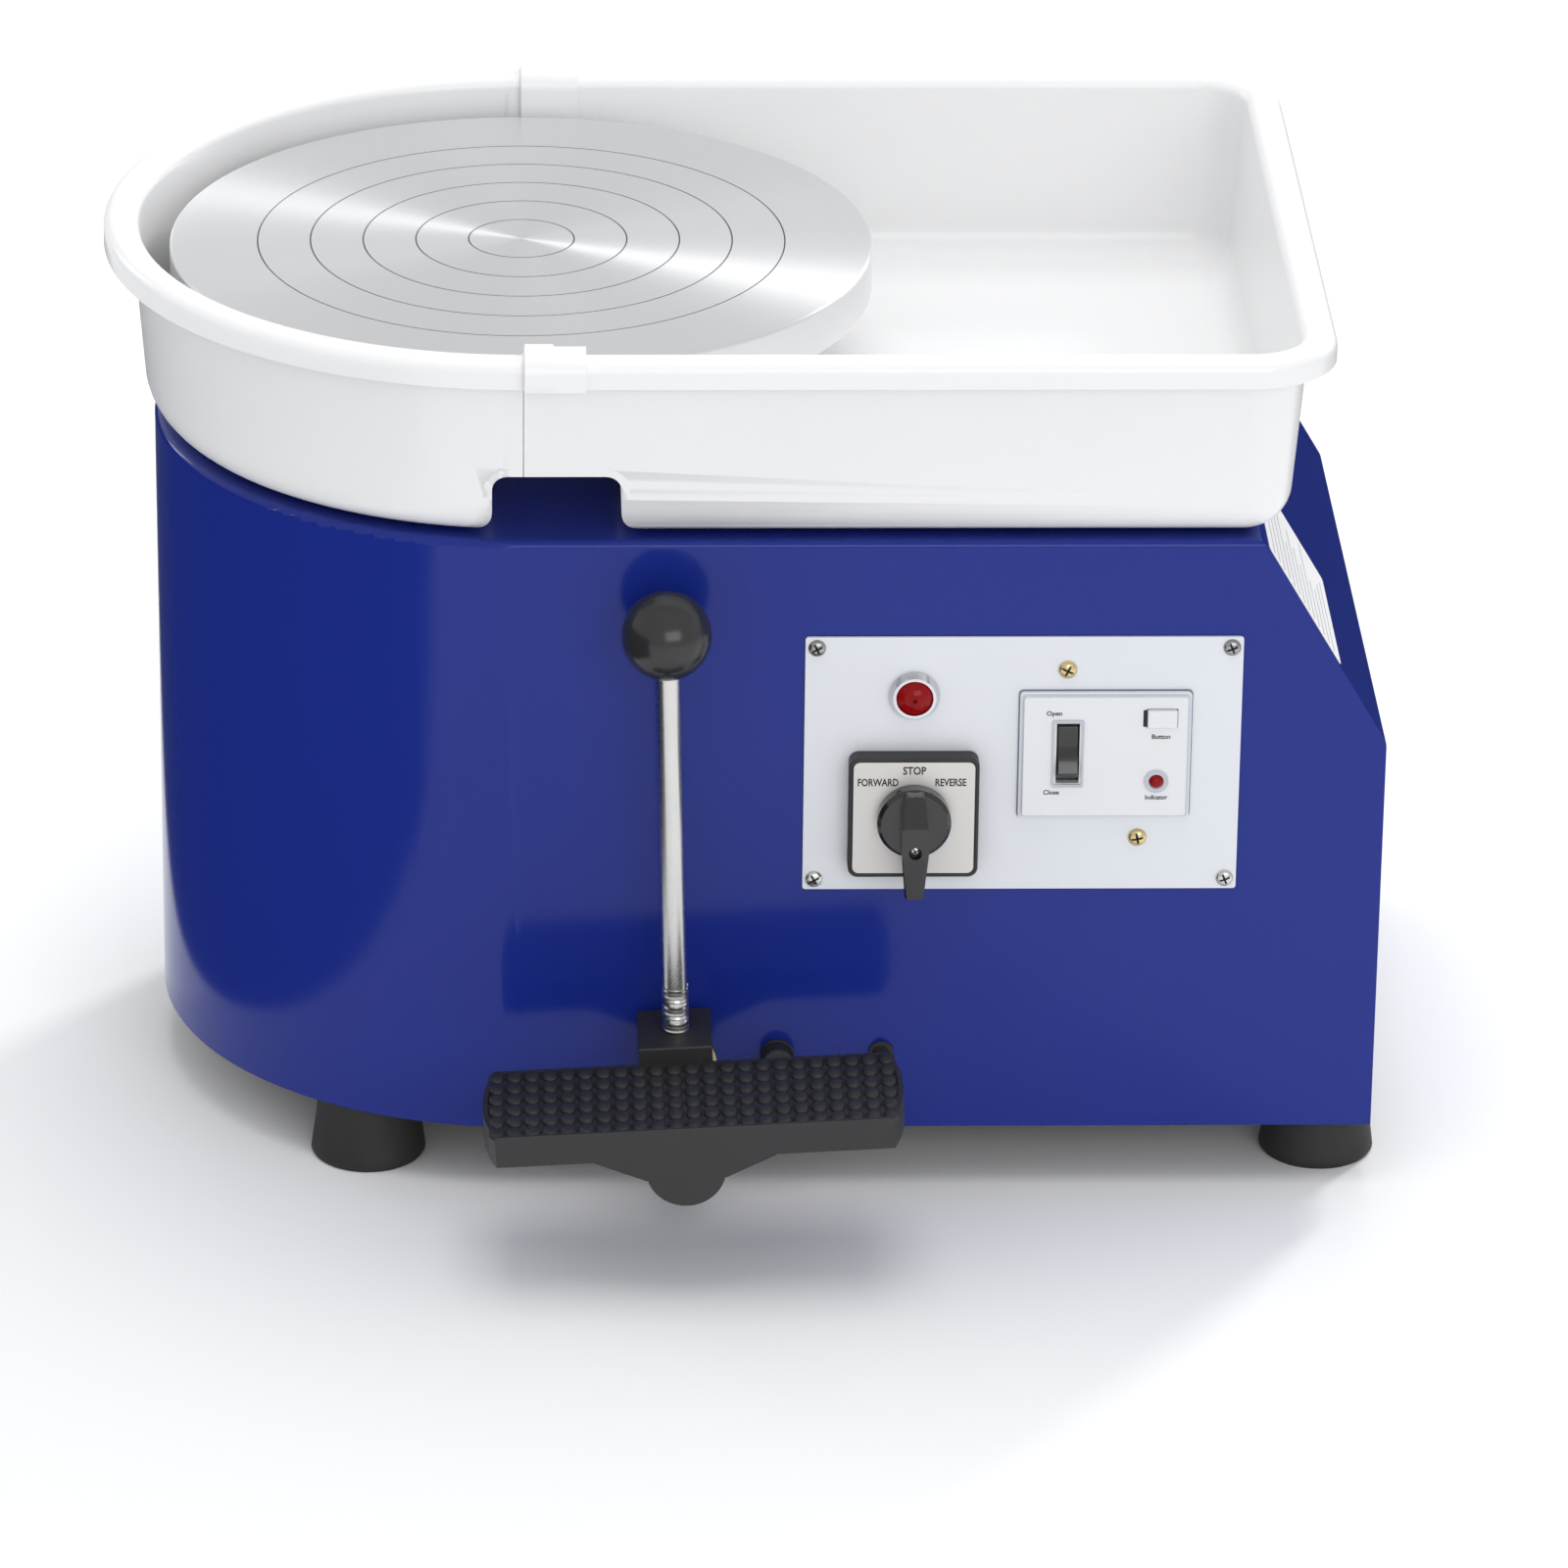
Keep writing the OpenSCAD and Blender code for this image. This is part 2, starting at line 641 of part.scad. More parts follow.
module bearing_housing_bolts() color("silver") place() for (a = [45:90:315]) rotate(a)
    translate([housing_bolt_r, 0, 0]) {
        translate([0, 0, deck_z]) hexagon(m5_w, m5_head_h);
        translate([0, 0, housing_top - housing_flange_t - m5_nut_h - 3])
            cylinder(r = m5_r, h = deck_z - housing_top + housing_flange_t + m5_nut_h + 3);
        translate([0, 0, housing_top - housing_flange_t - m5_nut_h]) hexagon(m5_w, m5_nut_h);
    }

// A shielded ball bearing, from z0 up
module ball_bearing(r_out, r_in, w, z0) difference() {
    tube(r_out, r_in, z0, z0 + w);
    for (z = [z0 - eps, z0 + w - 0.6]) translate([0, 0, z])
        tube_cut(r_out - (r_out - r_in) * 0.22, r_in + (r_out - r_in) * 0.22, 0.6 + eps);
}

module upper_bearing() color("lightgray") place()
    ball_bearing(bearing_r, shaft_r + fit, bearing_w, housing_top - bearing_w);
module lower_bearing() color("lightgray") place()
    ball_bearing(bearing_r, shaft_r + fit, bearing_w, housing_low + 2);

module shaft_retaining_ring() color("dimgray") place() difference() {
    tube(shaft_r + 3, shaft_r, housing_low + 2 - gap - ring_t, housing_low + 2 - gap);
    translate([0, -1.5, 0]) cube([shaft_r + 9, 3, housing_low + 9]);
}

module belt_loop(grow) hull() {
    circle(big_pulley_r + grow, $fn = 120);
    translate([motor_x, 0]) circle(small_pulley_r + grow, $fn = 60);
}

module drive_belt() color([0.1, 0.1, 0.1]) place()
    translate([0, 0, pulley_z - belt_w / 2]) linear_extrude(belt_w) difference() {
        belt_loop(belt_gap + belt_t);
        belt_loop(belt_gap);
    }

// ---- Motor ---------------------------------------------------------------------------

module on_motor() place() translate([motor_x, 0, 0]) children();

module motor_bracket() color("gray") on_motor() {
    difference() {
        translate([-motor_r, -leg_y - leg_t, motor_top - bracket_t])
            cube([2 * motor_r, 2 * (leg_y + leg_t), bracket_t]);
        translate([0, 0, motor_top - bracket_t - eps])
            cylinder(r = motor_shaft_r + 5, h = bracket_t + 2 * eps);
        for (a = [45:90:315]) rotate(a) translate([motor_r - 14, 0, motor_top - bracket_t - eps])
            cylinder(r = m5_r, h = bracket_t + 2 * eps);
    }
    for (y = [-1, 1]) mirror([0, y < 0 ? 1 : 0, 0]) {
        translate([-motor_r, leg_y, base_z + sheet])
            cube([2 * motor_r, leg_t, motor_top - bracket_t - base_z - sheet]);
        difference() {
            translate([-motor_r, leg_y + leg_t, base_z + sheet]) cube([2 * motor_r, leg_foot, leg_t]);
            for (x = [-1, 1]) translate([x * (motor_r - 12), leg_y + leg_bolt, base_z])
                cylinder(r = m6_r, h = 10);
        }
    }
}

module motor_bracket_bolts() color("silver") on_motor()
    for (x = [-1, 1], y = [-1, 1])
    translate([x * (motor_r - 12), y * (leg_y + leg_bolt), base_z + sheet]) {
        translate([0, 0, leg_t]) hexagon(m6_w, m6_head_h);
        cylinder(r = m6_r, h = leg_t + 1);
    }

module motor_can() color([0.25, 0.25, 0.27]) on_motor() tube(motor_r, motor_r - 3, can_low, can_top);

module motor_magnets() color("dimgray") on_motor() intersection() {
    tube(motor_r - 3, motor_r - 10, can_low + 14, can_top - 14);
    for (y = [-1, 1]) translate([-motor_r * 0.75, y > 0 ? 8 : -motor_r - 8, can_low])
        cube([motor_r * 1.5, motor_r, can_top - can_low]);
}

module motor_upper_cap() color("silver") on_motor() difference() {
    union() {
        translate([0, 0, can_top]) cylinder(r = motor_r, h = cap_h);
        translate([0, 0, can_top - 6]) cylinder(r = motor_r - 3, h = 6);
    }
    translate([0, 0, can_top - 6 - eps]) cylinder(r = motor_r - 12, h = 9 + eps);
    translate([0, 0, can_top]) cylinder(r = motor_bearing_r, h = 3 + motor_bearing_w);
    translate([0, 0, can_top]) cylinder(r = motor_shaft_r + 1, h = cap_h + eps);
    for (a = [45:90:315]) rotate(a) translate([motor_r - 14, 0, can_top]) cylinder(r = m5_r, h = cap_h + eps);
}

module motor_lower_cap() color("silver") on_motor() difference() {
    union() {
        translate([0, 0, can_low - cap_h]) cylinder(r = motor_r, h = cap_h);
        translate([0, 0, can_low]) cylinder(r = motor_r - 3, h = 6);
    }
    translate([0, 0, can_low - 3]) cylinder(r = motor_r - 12, h = 9 + eps);
    translate([0, 0, can_low - 3 - motor_bearing_w]) cylinder(r = motor_bearing_r, h = 3 + motor_bearing_w);
}

module motor_mount_screws() color("gray") on_motor() for (a = [45:90:315]) rotate(a)
    translate([motor_r - 14, 0, motor_top]) pan_screw(pan_r + 0.7, pan_h + 0.6, m5_r, bracket_t + cap_h - 5);

module motor_bearings() color("lightgray") on_motor() {
    ball_bearing(motor_bearing_r, motor_shaft_r + fit, motor_bearing_w, can_top + 3);
    ball_bearing(motor_bearing_r, motor_shaft_r + fit, motor_bearing_w, can_low - 3 - motor_bearing_w);
}

module motor_shaft() color("silver") on_motor()
    translate([0, 0, can_low - 3 - motor_bearing_w + gap]) cylinder(r = motor_shaft_r,
        h = pulley_low + pulley_w + 1 - (can_low - 3 - motor_bearing_w + gap));

module motor_armature() color([0.55, 0.35, 0.2]) on_motor() {
    tube(motor_r - 11, motor_shaft_r, can_low + 16, can_top - 16);
    tube(motor_r - 22, motor_shaft_r, can_low + 6, can_low + 16);
}

module motor_pulley() color([0.7, 0.71, 0.72]) on_motor() difference() {
    translate([0, 0, pulley_low]) cylinder(r = small_pulley_r + 4, h = pulley_w);
    translate([0, 0, pulley_low + 3]) tube_cut(small_pulley_r + 9, small_pulley_r, pulley_w - 6);
    translate([0, 0, pulley_low - eps]) cylinder(r = motor_shaft_r, h = pulley_w + 2 * eps);
}

// ---- Control panel -------------------------------------------------------------------

module on_panel(pos) on_front(pos) translate([0, 0, panel_t]) children();

module control_panel() color([0.88, 0.89, 0.91]) on_front([0, 0]) difference() {
    translate([panel_x + panel_w / 2, panel_z + panel_h / 2]) linear_extrude(panel_t)
        rounded_square(panel_w, panel_h, 1.2);
    translate([0, 0, -eps]) linear_extrude(panel_t + 2 * eps) {
        for (p = panel_corners) translate(p) circle(m4_r);
        for (p = breaker_screw_pos) translate(breaker_pos + p) circle(m4_r);
        translate(lamp_pos) circle(lamp_body_r + 2 * fit);
        translate(switch_pos) circle(spindle_hole_r);
        translate(breaker_pos) square([breaker_body_w, breaker_body_h], center = true);
    }
}

module control_panel_screws() color("silver")
    for (p = panel_corners) on_panel(p) pan_screw(pan_r, pan_h, m4_r, panel_t + sheet + 3);

module lamp_bezel() color("silver") on_panel(lamp_pos) difference() {
    rotate_extrude() polygon([[0, 0], [10, 0], [10, 1.4], [8.4, 3.8], [7.3, 3.8], [7.3, 1], [0, 1]]);
    translate([0, 0, -eps]) cylinder(r = lamp_body_r + 2 * fit, h = 4);
}

module lamp_lens() color([0.7, 0.05, 0.08]) on_panel(lamp_pos) {
    translate([0, 0, 1]) cylinder(r = 7.2, h = 2);
    intersection() {
        translate([0, 0, -2]) sphere(r = 8.78);
        translate([0, 0, 3]) cylinder(r = 9, h = 9);
    }
}

module lamp_body() color([0.2, 0.2, 0.2]) on_front(lamp_pos) {
    translate([0, 0, -30]) cylinder(r = lamp_body_r, h = 31 + panel_t);
    translate([0, 0, -sheet - 5]) difference() {
        hexagon(17, 5);
        translate([0, 0, -eps]) cylinder(r = lamp_body_r, h = 6);
    }
}

module switch_frame() color([0.13, 0.13, 0.14]) on_panel(switch_pos) difference() {
    linear_extrude(frame_t) rounded_square(switch_w, switch_w, 4);
    translate([0, 0, frame_t - face_t]) linear_extrude(face_t + eps)
        rounded_square(switch_w - 3, switch_w - 3, 2.8);
    translate([0, 0, -eps]) cylinder(r = spindle_hole_r, h = frame_t);
}

module switch_face() color([0.85, 0.84, 0.82]) on_panel(switch_pos) difference() {
    translate([0, 0, frame_t - face_t]) linear_extrude(face_t)
        rounded_square(switch_w - 3.4, switch_w - 3.4, 2.6);
    translate([0, 0, frame_t - face_t - eps]) cylinder(r = spindle_hole_r, h = 3);
}

module switch_body() color([0.2, 0.2, 0.2]) on_front(switch_pos) difference() {
    translate([0, 0, -switch_body_h]) linear_extrude(switch_body_h)
        rounded_square(switch_body_w, switch_body_w, 2);
    translate([0, 0, -20]) cylinder(r = spindle_r + fit, h = 21);
}

module switch_spindle() color("silver") on_front(switch_pos)
    translate([0, 0, -19]) cylinder(r = spindle_r, h = 19 + panel_t + frame_t + 5);

// One corner of the switch knob's lever: w wide, d long and h high, at y
module knob_post(y, w, d, h) translate([0, y, 5]) linear_extrude(h) rounded_square(w, d, 1.2);

module switch_knob() color([0.1, 0.1, 0.1]) on_panel(switch_pos) difference() {
    translate([0, 0, frame_t + gap]) difference() {
        union() {
            cylinder(r = knob_r, h = 5);
            translate([0, 0, 5]) cylinder(r1 = knob_r, r2 = knob_r - 1.5, h = 1.5);
            hull() {
                knob_post(knob_r - 2.5, 8, 4, 6);
                knob_post(-3, 10.5, 13, 13);
                knob_post(3 - 2 * knob_r, 7.4, 5, 9);
            }
        }
        translate([0, -7, 15]) cylinder(r = 2.6, h = 5, $fn = 32);
    }
    translate([0, 0, frame_t]) cylinder(r = spindle_r, h = 5);
}

module breaker_frame() color([0.9, 0.91, 0.93]) on_panel(breaker_pos) difference() {
    union() {
        linear_extrude(2.2) rounded_square(breaker_w, breaker_h, 1.5);
        translate([0, 0, 2.2]) linear_extrude(1.6) rounded_square(breaker_w - 3, breaker_h - 3, 1);
    }
    translate([0, 0, -eps]) linear_extrude(5) {
        translate(rocker_pos) square(rocker_slot, center = true);
        translate(button_pos) square(button_slot, center = true);
        translate(indicator_pos) circle(indicator_r + fit);
    }
}

module breaker_body() color([0.25, 0.25, 0.25]) on_front(breaker_pos) difference() {
    translate([0, 0, -breaker_body_d]) linear_extrude(breaker_body_d + panel_t)
        square([breaker_body_w, breaker_body_h], center = true);
    translate([rocker_pos[0], rocker_pos[1], panel_t - 18]) linear_extrude(19)
        square(rocker_slot + [0, 1.4], center = true);
    translate([button_pos[0], button_pos[1], panel_t - 10]) linear_extrude(11)
        square(button_slot, center = true);
    translate([indicator_pos[0], indicator_pos[1], panel_t - 8]) cylinder(r = indicator_r + fit, h = 9);
}

module breaker_rocker() color([0.08, 0.08, 0.08]) on_panel(breaker_pos + rocker_pos)
    translate([0, 0, rocker_pivot]) rotate([-rocker_tilt, 0, 0]) rotate([0, -90, 0])
        linear_extrude(rocker_slot[0] - 0.8, center = true) intersection() {
            circle(rocker_slot[1] / 2 - 0.2);
            polygon([[-13, -13], [6.2 + 13 * tan(rocker_tilt), -13], [6.2, 0],
                     [6.2 + 13 * tan(rocker_tilt), 13], [-13, 13]]);
        }

module breaker_test_button() color("white") on_panel(breaker_pos + button_pos)
    translate([0, 0, -4]) linear_extrude(9.6) square(button_size, center = true);

module breaker_indicator() color([0.75, 0.1, 0.12]) on_panel(breaker_pos + indicator_pos) {
    translate([0, 0, -6]) cylinder(r = indicator_r, h = 10);
    translate([0, 0, 4]) intersection() {
        translate([0, 0, -1]) sphere(r = sqrt(indicator_r * indicator_r + 1));
        cylinder(r = 4, h = 4);
    }
}

module breaker_screws() color([0.8, 0.68, 0.35])
    for (p = breaker_screw_pos) on_panel(breaker_pos + p)
        pan_screw(breaker_screw_r, breaker_screw_h, m4_r, panel_t + sheet + 6);

module fuse_holder() color([0.12, 0.12, 0.12]) on_front(fuse_pos) difference() {
    union() {
        translate([0, 0, -32]) cylinder(r = fuse_body_r, h = 32);
        cylinder(r = 6.9, h = 2);
        translate([0, 0, -sheet - 5]) hexagon(16, 5);
    }
    translate([0, 0, -28]) cylinder(r = 4.5, h = 31);
}

module fuse_cap() color([0.1, 0.1, 0.1]) on_front(fuse_pos) difference() {
    union() {
        translate([0, 0, 2 + gap]) cylinder(r = 6.2, h = 7);
        translate([0, 0, -6]) cylinder(r = 4.4, h = 9);
    }
    translate([-4.5, -0.7, 8.1]) cube([9, 1.4, 3]);
    translate([0, 0, -6 - eps]) cylinder(r = 2.6, h = 5 + eps);
}

module fuse_cartridge() color("silver") on_front(fuse_pos) translate([0, 0, -21]) cylinder(r = 2.6, h = 20);

module cord_bush() color([0.1, 0.1, 0.1]) on_front(cord_pos) difference() {
    union() {
        cylinder(r = 5, h = 1.5);
        translate([0, 0, 1.5]) cylinder(r1 = 3.6, r2 = 3, h = 6);
        translate([0, 0, -8]) cylinder(r = cord_bush_r, h = 8);
    }
    translate([0, 0, -9]) cylinder(r = 2.2, h = 20);
}

// ---- Pedal and hand lever ------------------------------------------------------------

// The plate's outline, moved in by a border, with a slight curve to its ends
module pedal_outline(border, corner_r) intersection() {
    rounded_square(pedal_l - 2 * border, pedal_d - 2 * border, corner_r);
    for_both_ends() circle(pedal_l / 2 + 6 - border, $fn = 180);
}

module for_both_ends() intersection_for(x = [-6, 6]) translate([x, 0]) children();

module pedal_plate() color([0.13, 0.13, 0.14]) on_pedal() difference() {
    union() {
        translate([plate_x, (pedal_front + pedal_back) / 2, plate_low]) linear_extrude(pedal_t)
            pedal_outline(0, 5);
        along_y(pedal_front, pedal_back) {
            circle(pedal_hub_r);
            polygon([[-wing_l, plate_low + 1], [-pedal_hub_r, -4],
                     [pedal_hub_r, -4], [wing_l, plate_low + 1]]);
        }
    }
    translate([0, pedal_front + shaft_inset, 0]) rotate([-90, 0, 0]) cylinder(r = pedal_shaft_r, h = pedal_d);
    translate([plate_x, (pedal_front + pedal_back) / 2, plate_low + pedal_t - plate_recess])
        linear_extrude(plate_recess + eps) pedal_outline(plate_border, 3.5);
}

// Puts a piece on the lever, which stands a little to one side of the shaft and leans back upright
module on_lever() on_pedal() translate([lever_x, rod_y, 0]) rotate([0, lever_lean, 0]) children();

module pedal_block() color([0.12, 0.12, 0.12]) difference() {
    on_pedal() difference() {
        translate([lever_x - block_w / 2, pedal_back, block_low])
            cube([block_w, block_d, block_top - block_low]);
        translate([0, pedal_back - eps, 0]) rotate([-90, 0, 0])
            cylinder(r = pedal_shaft_r, h = block_d + 2 * eps);
    }
    on_lever() translate([0, 0, rod_low]) cylinder(r = rod_r, h = block_top);
}

module pedal_shaft() color("silver") on_pedal()
    translate([0, pedal_front + shaft_inset, 0]) rotate([-90, 0, 0])
        cylinder(r = pedal_shaft_r, h = sector_y + sector_t + 6 - pedal_front - shaft_inset);

module pedal_bush() color("goldenrod") place() translate([pedal_x, 0, pedal_z]) difference() {
    union() {
        translate([0, -body_half, 0]) rotate([90, 0, 0]) cylinder(r = bush_r + 4, h = bush_flange_t);
        translate([0, -body_half + 20, 0]) rotate([90, 0, 0]) cylinder(r = bush_r, h = 20);
        translate([0, -body_half + sheet + 6, 0]) rotate([90, 0, 0]) hexagon(bush_nut_w, 6);
    }
    translate([0, -body_half + 21, 0]) rotate([90, 0, 0]) cylinder(r = pedal_shaft_r + fit, h = 30);
}

module hand_lever_rod() color("silver") on_lever() translate([0, 0, rod_low])
    cylinder(r = rod_r, h = lever_h - rod_low - ball_r * 0.3);

module ball_knob() color([0.08, 0.08, 0.08]) on_lever() translate([0, 0, lever_h]) difference() {
    sphere(r = ball_r);
    translate([0, 0, -ball_r - eps]) cylinder(r = rod_r, h = ball_r * 0.7 + eps);
}

// A spur gear's outline, with a tooth centred on angle a0 and teeth from the angle -span to span
module gear_outline(teeth, span, a0) {
    pitch_r = module_mm * teeth / 2;
    step = 360 / teeth;
    n = floor(span / step);
    tooth = function (r, w) asin(w / 2 / r);
    root = pitch_r - 1.25 * module_mm;
    tip = pitch_r + 0.9 * module_mm;
    circle(root);
    for (i = [-n:n]) rotate(a0 + i * step) polygon([
        (root - 0.4) * [cos(-tooth(root, 3)), sin(-tooth(root, 3))],
        pitch_r * [cos(-tooth(pitch_r, 1.9)), sin(-tooth(pitch_r, 1.9))],
        tip * [cos(-tooth(tip, 0.8)), sin(-tooth(tip, 0.8))],
        tip * [cos(tooth(tip, 0.8)), sin(tooth(tip, 0.8))],
        pitch_r * [cos(tooth(pitch_r, 1.9)), sin(tooth(pitch_r, 1.9))],
        (root - 0.4) * [cos(tooth(root, 3)), sin(tooth(root, 3))]]);
}

module speed_sector() color([0.9, 0.9, 0.86]) on_pedal() difference() {
    along_y(sector_y, sector_y + sector_t) intersection() {
        gear_outline(sector_teeth, 44, 90);
        union() {
            circle(pedal_shaft_r + 6);
            polygon([[0, -8], [-40, 40], [40, 40]]);
        }
    }
    translate([0, sector_y - eps, 0]) rotate([-90, 0, 0]) cylinder(r = pedal_shaft_r, h = sector_t + 2 * eps);
}

module on_sensor() place() translate([pedal_x, 0, sensor_z]) children();

module speed_sensor_pinion() color([0.9, 0.9, 0.86]) on_sensor() {
    rotate([0, gear_ratio * pedal_tilt, 0]) along_y(sector_y, sector_y + sector_t)
        gear_outline(pinion_teeth, 179, 90 + 180 / pinion_teeth);
    translate([0, sector_y, 0]) rotate([-90, 0, 0]) cylinder(r = spindle_r, h = sector_t + 14);
}

module speed_sensor() color("gray") on_sensor() difference() {
    union() {
        translate([0, sector_y + sector_t + 8, 0]) rotate([-90, 0, 0]) cylinder(r = 12, h = 12);
        translate([-16, sector_y + sector_t + 6, -sensor_z + base_z + sheet])
            cube([32, 2, sensor_z - base_z + 12]);
        translate([-16, sector_y + sector_t + 8, -sensor_z + base_z + sheet]) cube([32, 18, 2]);
    }
    translate([0, sector_y + sector_t + 5, 0]) rotate([-90, 0, 0]) cylinder(r = spindle_r + fit, h = 12);
    translate([0, sector_y, pedal_z - sensor_z]) rotate([-90, 0, 0]) cylinder(r = pedal_shaft_r + 3, h = 20);
}

// ---- Motor controller ----------------------------------------------------------------

module motor_controller() color([0.15, 0.4, 0.2]) place() translate([-85, 20, base_z + sheet]) {
    for (x = [6, 94], y = [6, 74]) translate([x, y, 0]) cylinder(r = 3, h = 12);
    translate([0, 0, 12]) cube([100, 80, 1.6]);
    for (i = [0:5]) translate([10, 8 + 5 * i, 13.6]) cube([50, 2, 26]);
    translate([10, 8, 13.6]) cube([50, 27, 4]);
    translate([78, 22, 13.6]) cylinder(r = 11, h = 32);
    translate([10, 58, 13.6]) cube([60, 14, 14]);
}

housing_shell();
base_plate();
base_screws();
rubber_feet();
foot_bolts();
round_splash_tray();
square_splash_tray();
wheel_head();
wheel_hub();
hub_screws();
wheel_shaft();
driven_pulley();
pulley_bolt();
bearing_housing();
bearing_housing_bolts();
upper_bearing();
lower_bearing();
shaft_retaining_ring();
drive_belt();
motor_bracket();
motor_bracket_bolts();
motor_can();
motor_magnets();
motor_upper_cap();
motor_lower_cap();
motor_mount_screws();
motor_bearings();
motor_shaft();
motor_armature();
motor_pulley();
control_panel();
control_panel_screws();
lamp_bezel();
lamp_lens();
lamp_body();
switch_frame();
switch_face();
switch_body();
switch_spindle();
switch_knob();
breaker_frame();
breaker_body();
breaker_rocker();
breaker_test_button();
breaker_indicator();
breaker_screws();
fuse_holder();
fuse_cap();
fuse_cartridge();
cord_bush();
pedal_plate();
pedal_block();
pedal_shaft();
pedal_bush();
hand_lever_rod();
ball_knob();
speed_sector();
speed_sensor_pinion();
speed_sensor();
motor_controller();
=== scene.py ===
# %% [markdown]
# # A table-top pottery wheel
# This file is a lesson in cells. It dresses a finished working model of a pottery wheel: a turned
# aluminium head in a white splash tray, on a blue steel body with a control panel, a foot pedal
# and a hand lever. The working model holds every size. Each cell below explains one piece or one
# finish, then makes it.

import json
import math

import bmesh
import bpy
from mathutils import Matrix, Vector

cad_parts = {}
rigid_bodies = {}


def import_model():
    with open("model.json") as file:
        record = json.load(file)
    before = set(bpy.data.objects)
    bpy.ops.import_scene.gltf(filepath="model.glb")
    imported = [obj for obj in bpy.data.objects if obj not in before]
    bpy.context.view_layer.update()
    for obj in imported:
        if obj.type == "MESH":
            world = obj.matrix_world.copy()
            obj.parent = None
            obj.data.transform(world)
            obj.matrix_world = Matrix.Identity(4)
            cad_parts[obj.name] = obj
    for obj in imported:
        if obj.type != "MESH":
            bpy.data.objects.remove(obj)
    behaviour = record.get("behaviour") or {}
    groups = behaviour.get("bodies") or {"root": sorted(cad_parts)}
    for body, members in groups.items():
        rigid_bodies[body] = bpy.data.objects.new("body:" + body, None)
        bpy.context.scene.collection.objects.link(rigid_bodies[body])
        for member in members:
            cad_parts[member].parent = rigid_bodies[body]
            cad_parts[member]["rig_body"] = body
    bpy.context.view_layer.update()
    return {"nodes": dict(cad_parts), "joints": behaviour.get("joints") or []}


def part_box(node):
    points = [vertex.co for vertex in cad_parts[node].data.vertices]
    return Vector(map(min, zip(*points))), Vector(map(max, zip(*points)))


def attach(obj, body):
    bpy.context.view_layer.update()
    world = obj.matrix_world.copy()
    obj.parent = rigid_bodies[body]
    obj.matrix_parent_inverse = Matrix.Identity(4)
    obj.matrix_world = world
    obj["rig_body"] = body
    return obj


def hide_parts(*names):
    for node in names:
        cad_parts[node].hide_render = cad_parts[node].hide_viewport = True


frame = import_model()
nodes = frame["nodes"]
print("loaded", len(nodes), "nodes")

# %% [markdown]
# ## Where things are
# Every place below comes from the working model, so nothing is fitted by eye. The wheel's axis
# and the front of the body are used again and again, so they are named once. All sizes are in
# metres, and `MM` keeps small sizes readable.

# %% Named places
MM = 0.001


def middle(node):
    """The centre of a node's box."""
    low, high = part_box(node)
    return (low + high) / 2


def box_size(node):
    low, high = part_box(node)
    return high - low


joint_at = {j["name"]: Vector(j["pos_m"]) for j in frame["joints"] if "pos_m" in j}
head_low, head_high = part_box("wheel_head")
axis_x = middle("wheel_head").x
axis_y = middle("wheel_head").y
head_radius = box_size("wheel_head").x / 2
front_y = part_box("housing_shell")[0].y
print("wheel axis at", round(axis_x, 4), round(axis_y, 4), "front wall at", round(front_y, 4))


def from_axis(x, y, z):
    """A point given in millimetres from the wheel's axis and the floor."""
    return Vector((axis_x + x * MM, axis_y + y * MM, z * MM))


def facing_front(point):
    """Turns a flat shape drawn in x and y so that it faces the front, at a point."""
    return Matrix.Translation(point) @ Matrix.Rotation(math.pi / 2, 4, "X")

# %% [markdown]
# ## Camera
# The view is nearly square to the front, from a little left of the middle and about 24 degrees
# above the table, through a long lens. Yaw turns the camera about the vertical, pitch tips it
# down, and a small roll levels the picture. Multiplying the three turns in this order gives the
# camera's rotation. A small shift places the machine in the upper part of the frame.

# %% Camera
camera_from_axis = Vector((-13.97, -3284.26, 1614.14)) * MM
yaw, pitch, roll = math.radians(1.841), math.radians(23.614), math.radians(0.636)
camera_data = bpy.data.cameras.new("camera")
camera_data.sensor_width = 36
camera_data.lens = 202.5
camera_data.shift_x = 0.02375
camera_data.shift_y = -0.0969
camera_data.clip_end = 50
camera = bpy.data.objects.new("camera", camera_data)
bpy.context.scene.collection.objects.link(camera)
turn = (Matrix.Rotation(-yaw, 4, "Z") @ Matrix.Rotation(math.pi / 2 - pitch, 4, "X")
        @ Matrix.Rotation(roll, 4, "Z"))
camera.matrix_world = Matrix.Translation(Vector((axis_x, axis_y, 0)) + camera_from_axis) @ turn
bpy.context.scene.camera = camera
print("camera", round(camera_from_axis.length, 2), "m from the foot of the wheel's axis")

# %% [markdown]
# ## Lamps
# The gloss on the paint and the rays on the metal come from large soft lamps, so there are few
# of them and they are big: one overhead, two behind and one in front. The overhead lamp is
# hidden from reflections, because it would lay a pale wash over the turned wheel head.

# %% Lamps


def link(name, data):
    obj = bpy.data.objects.new(name, data)
    bpy.context.scene.collection.objects.link(obj)
    return obj


def add_area_light(name, at, aim, width, height, power):
    """A rectangular soft lamp at one point, aimed at another."""
    data = bpy.data.lights.new(name, "AREA")
    data.shape = "RECTANGLE"
    data.size = width
    data.size_y = height
    data.energy = power
    lamp = link(name, data)
    aim_turn = (Vector(aim) - Vector(at)).to_track_quat("-Z", "Y").to_matrix().to_4x4()
    lamp.matrix_world = Matrix.Translation(at) @ aim_turn
    return lamp


world = bpy.data.worlds.new("studio")
world.use_nodes = True
sky = world.node_tree.nodes["Background"].inputs
sky["Color"].default_value = (0.97, 0.98, 1, 1)
sky["Strength"].default_value = 0.72
bpy.context.scene.world = world
bpy.context.scene.view_settings.view_transform = "Standard"

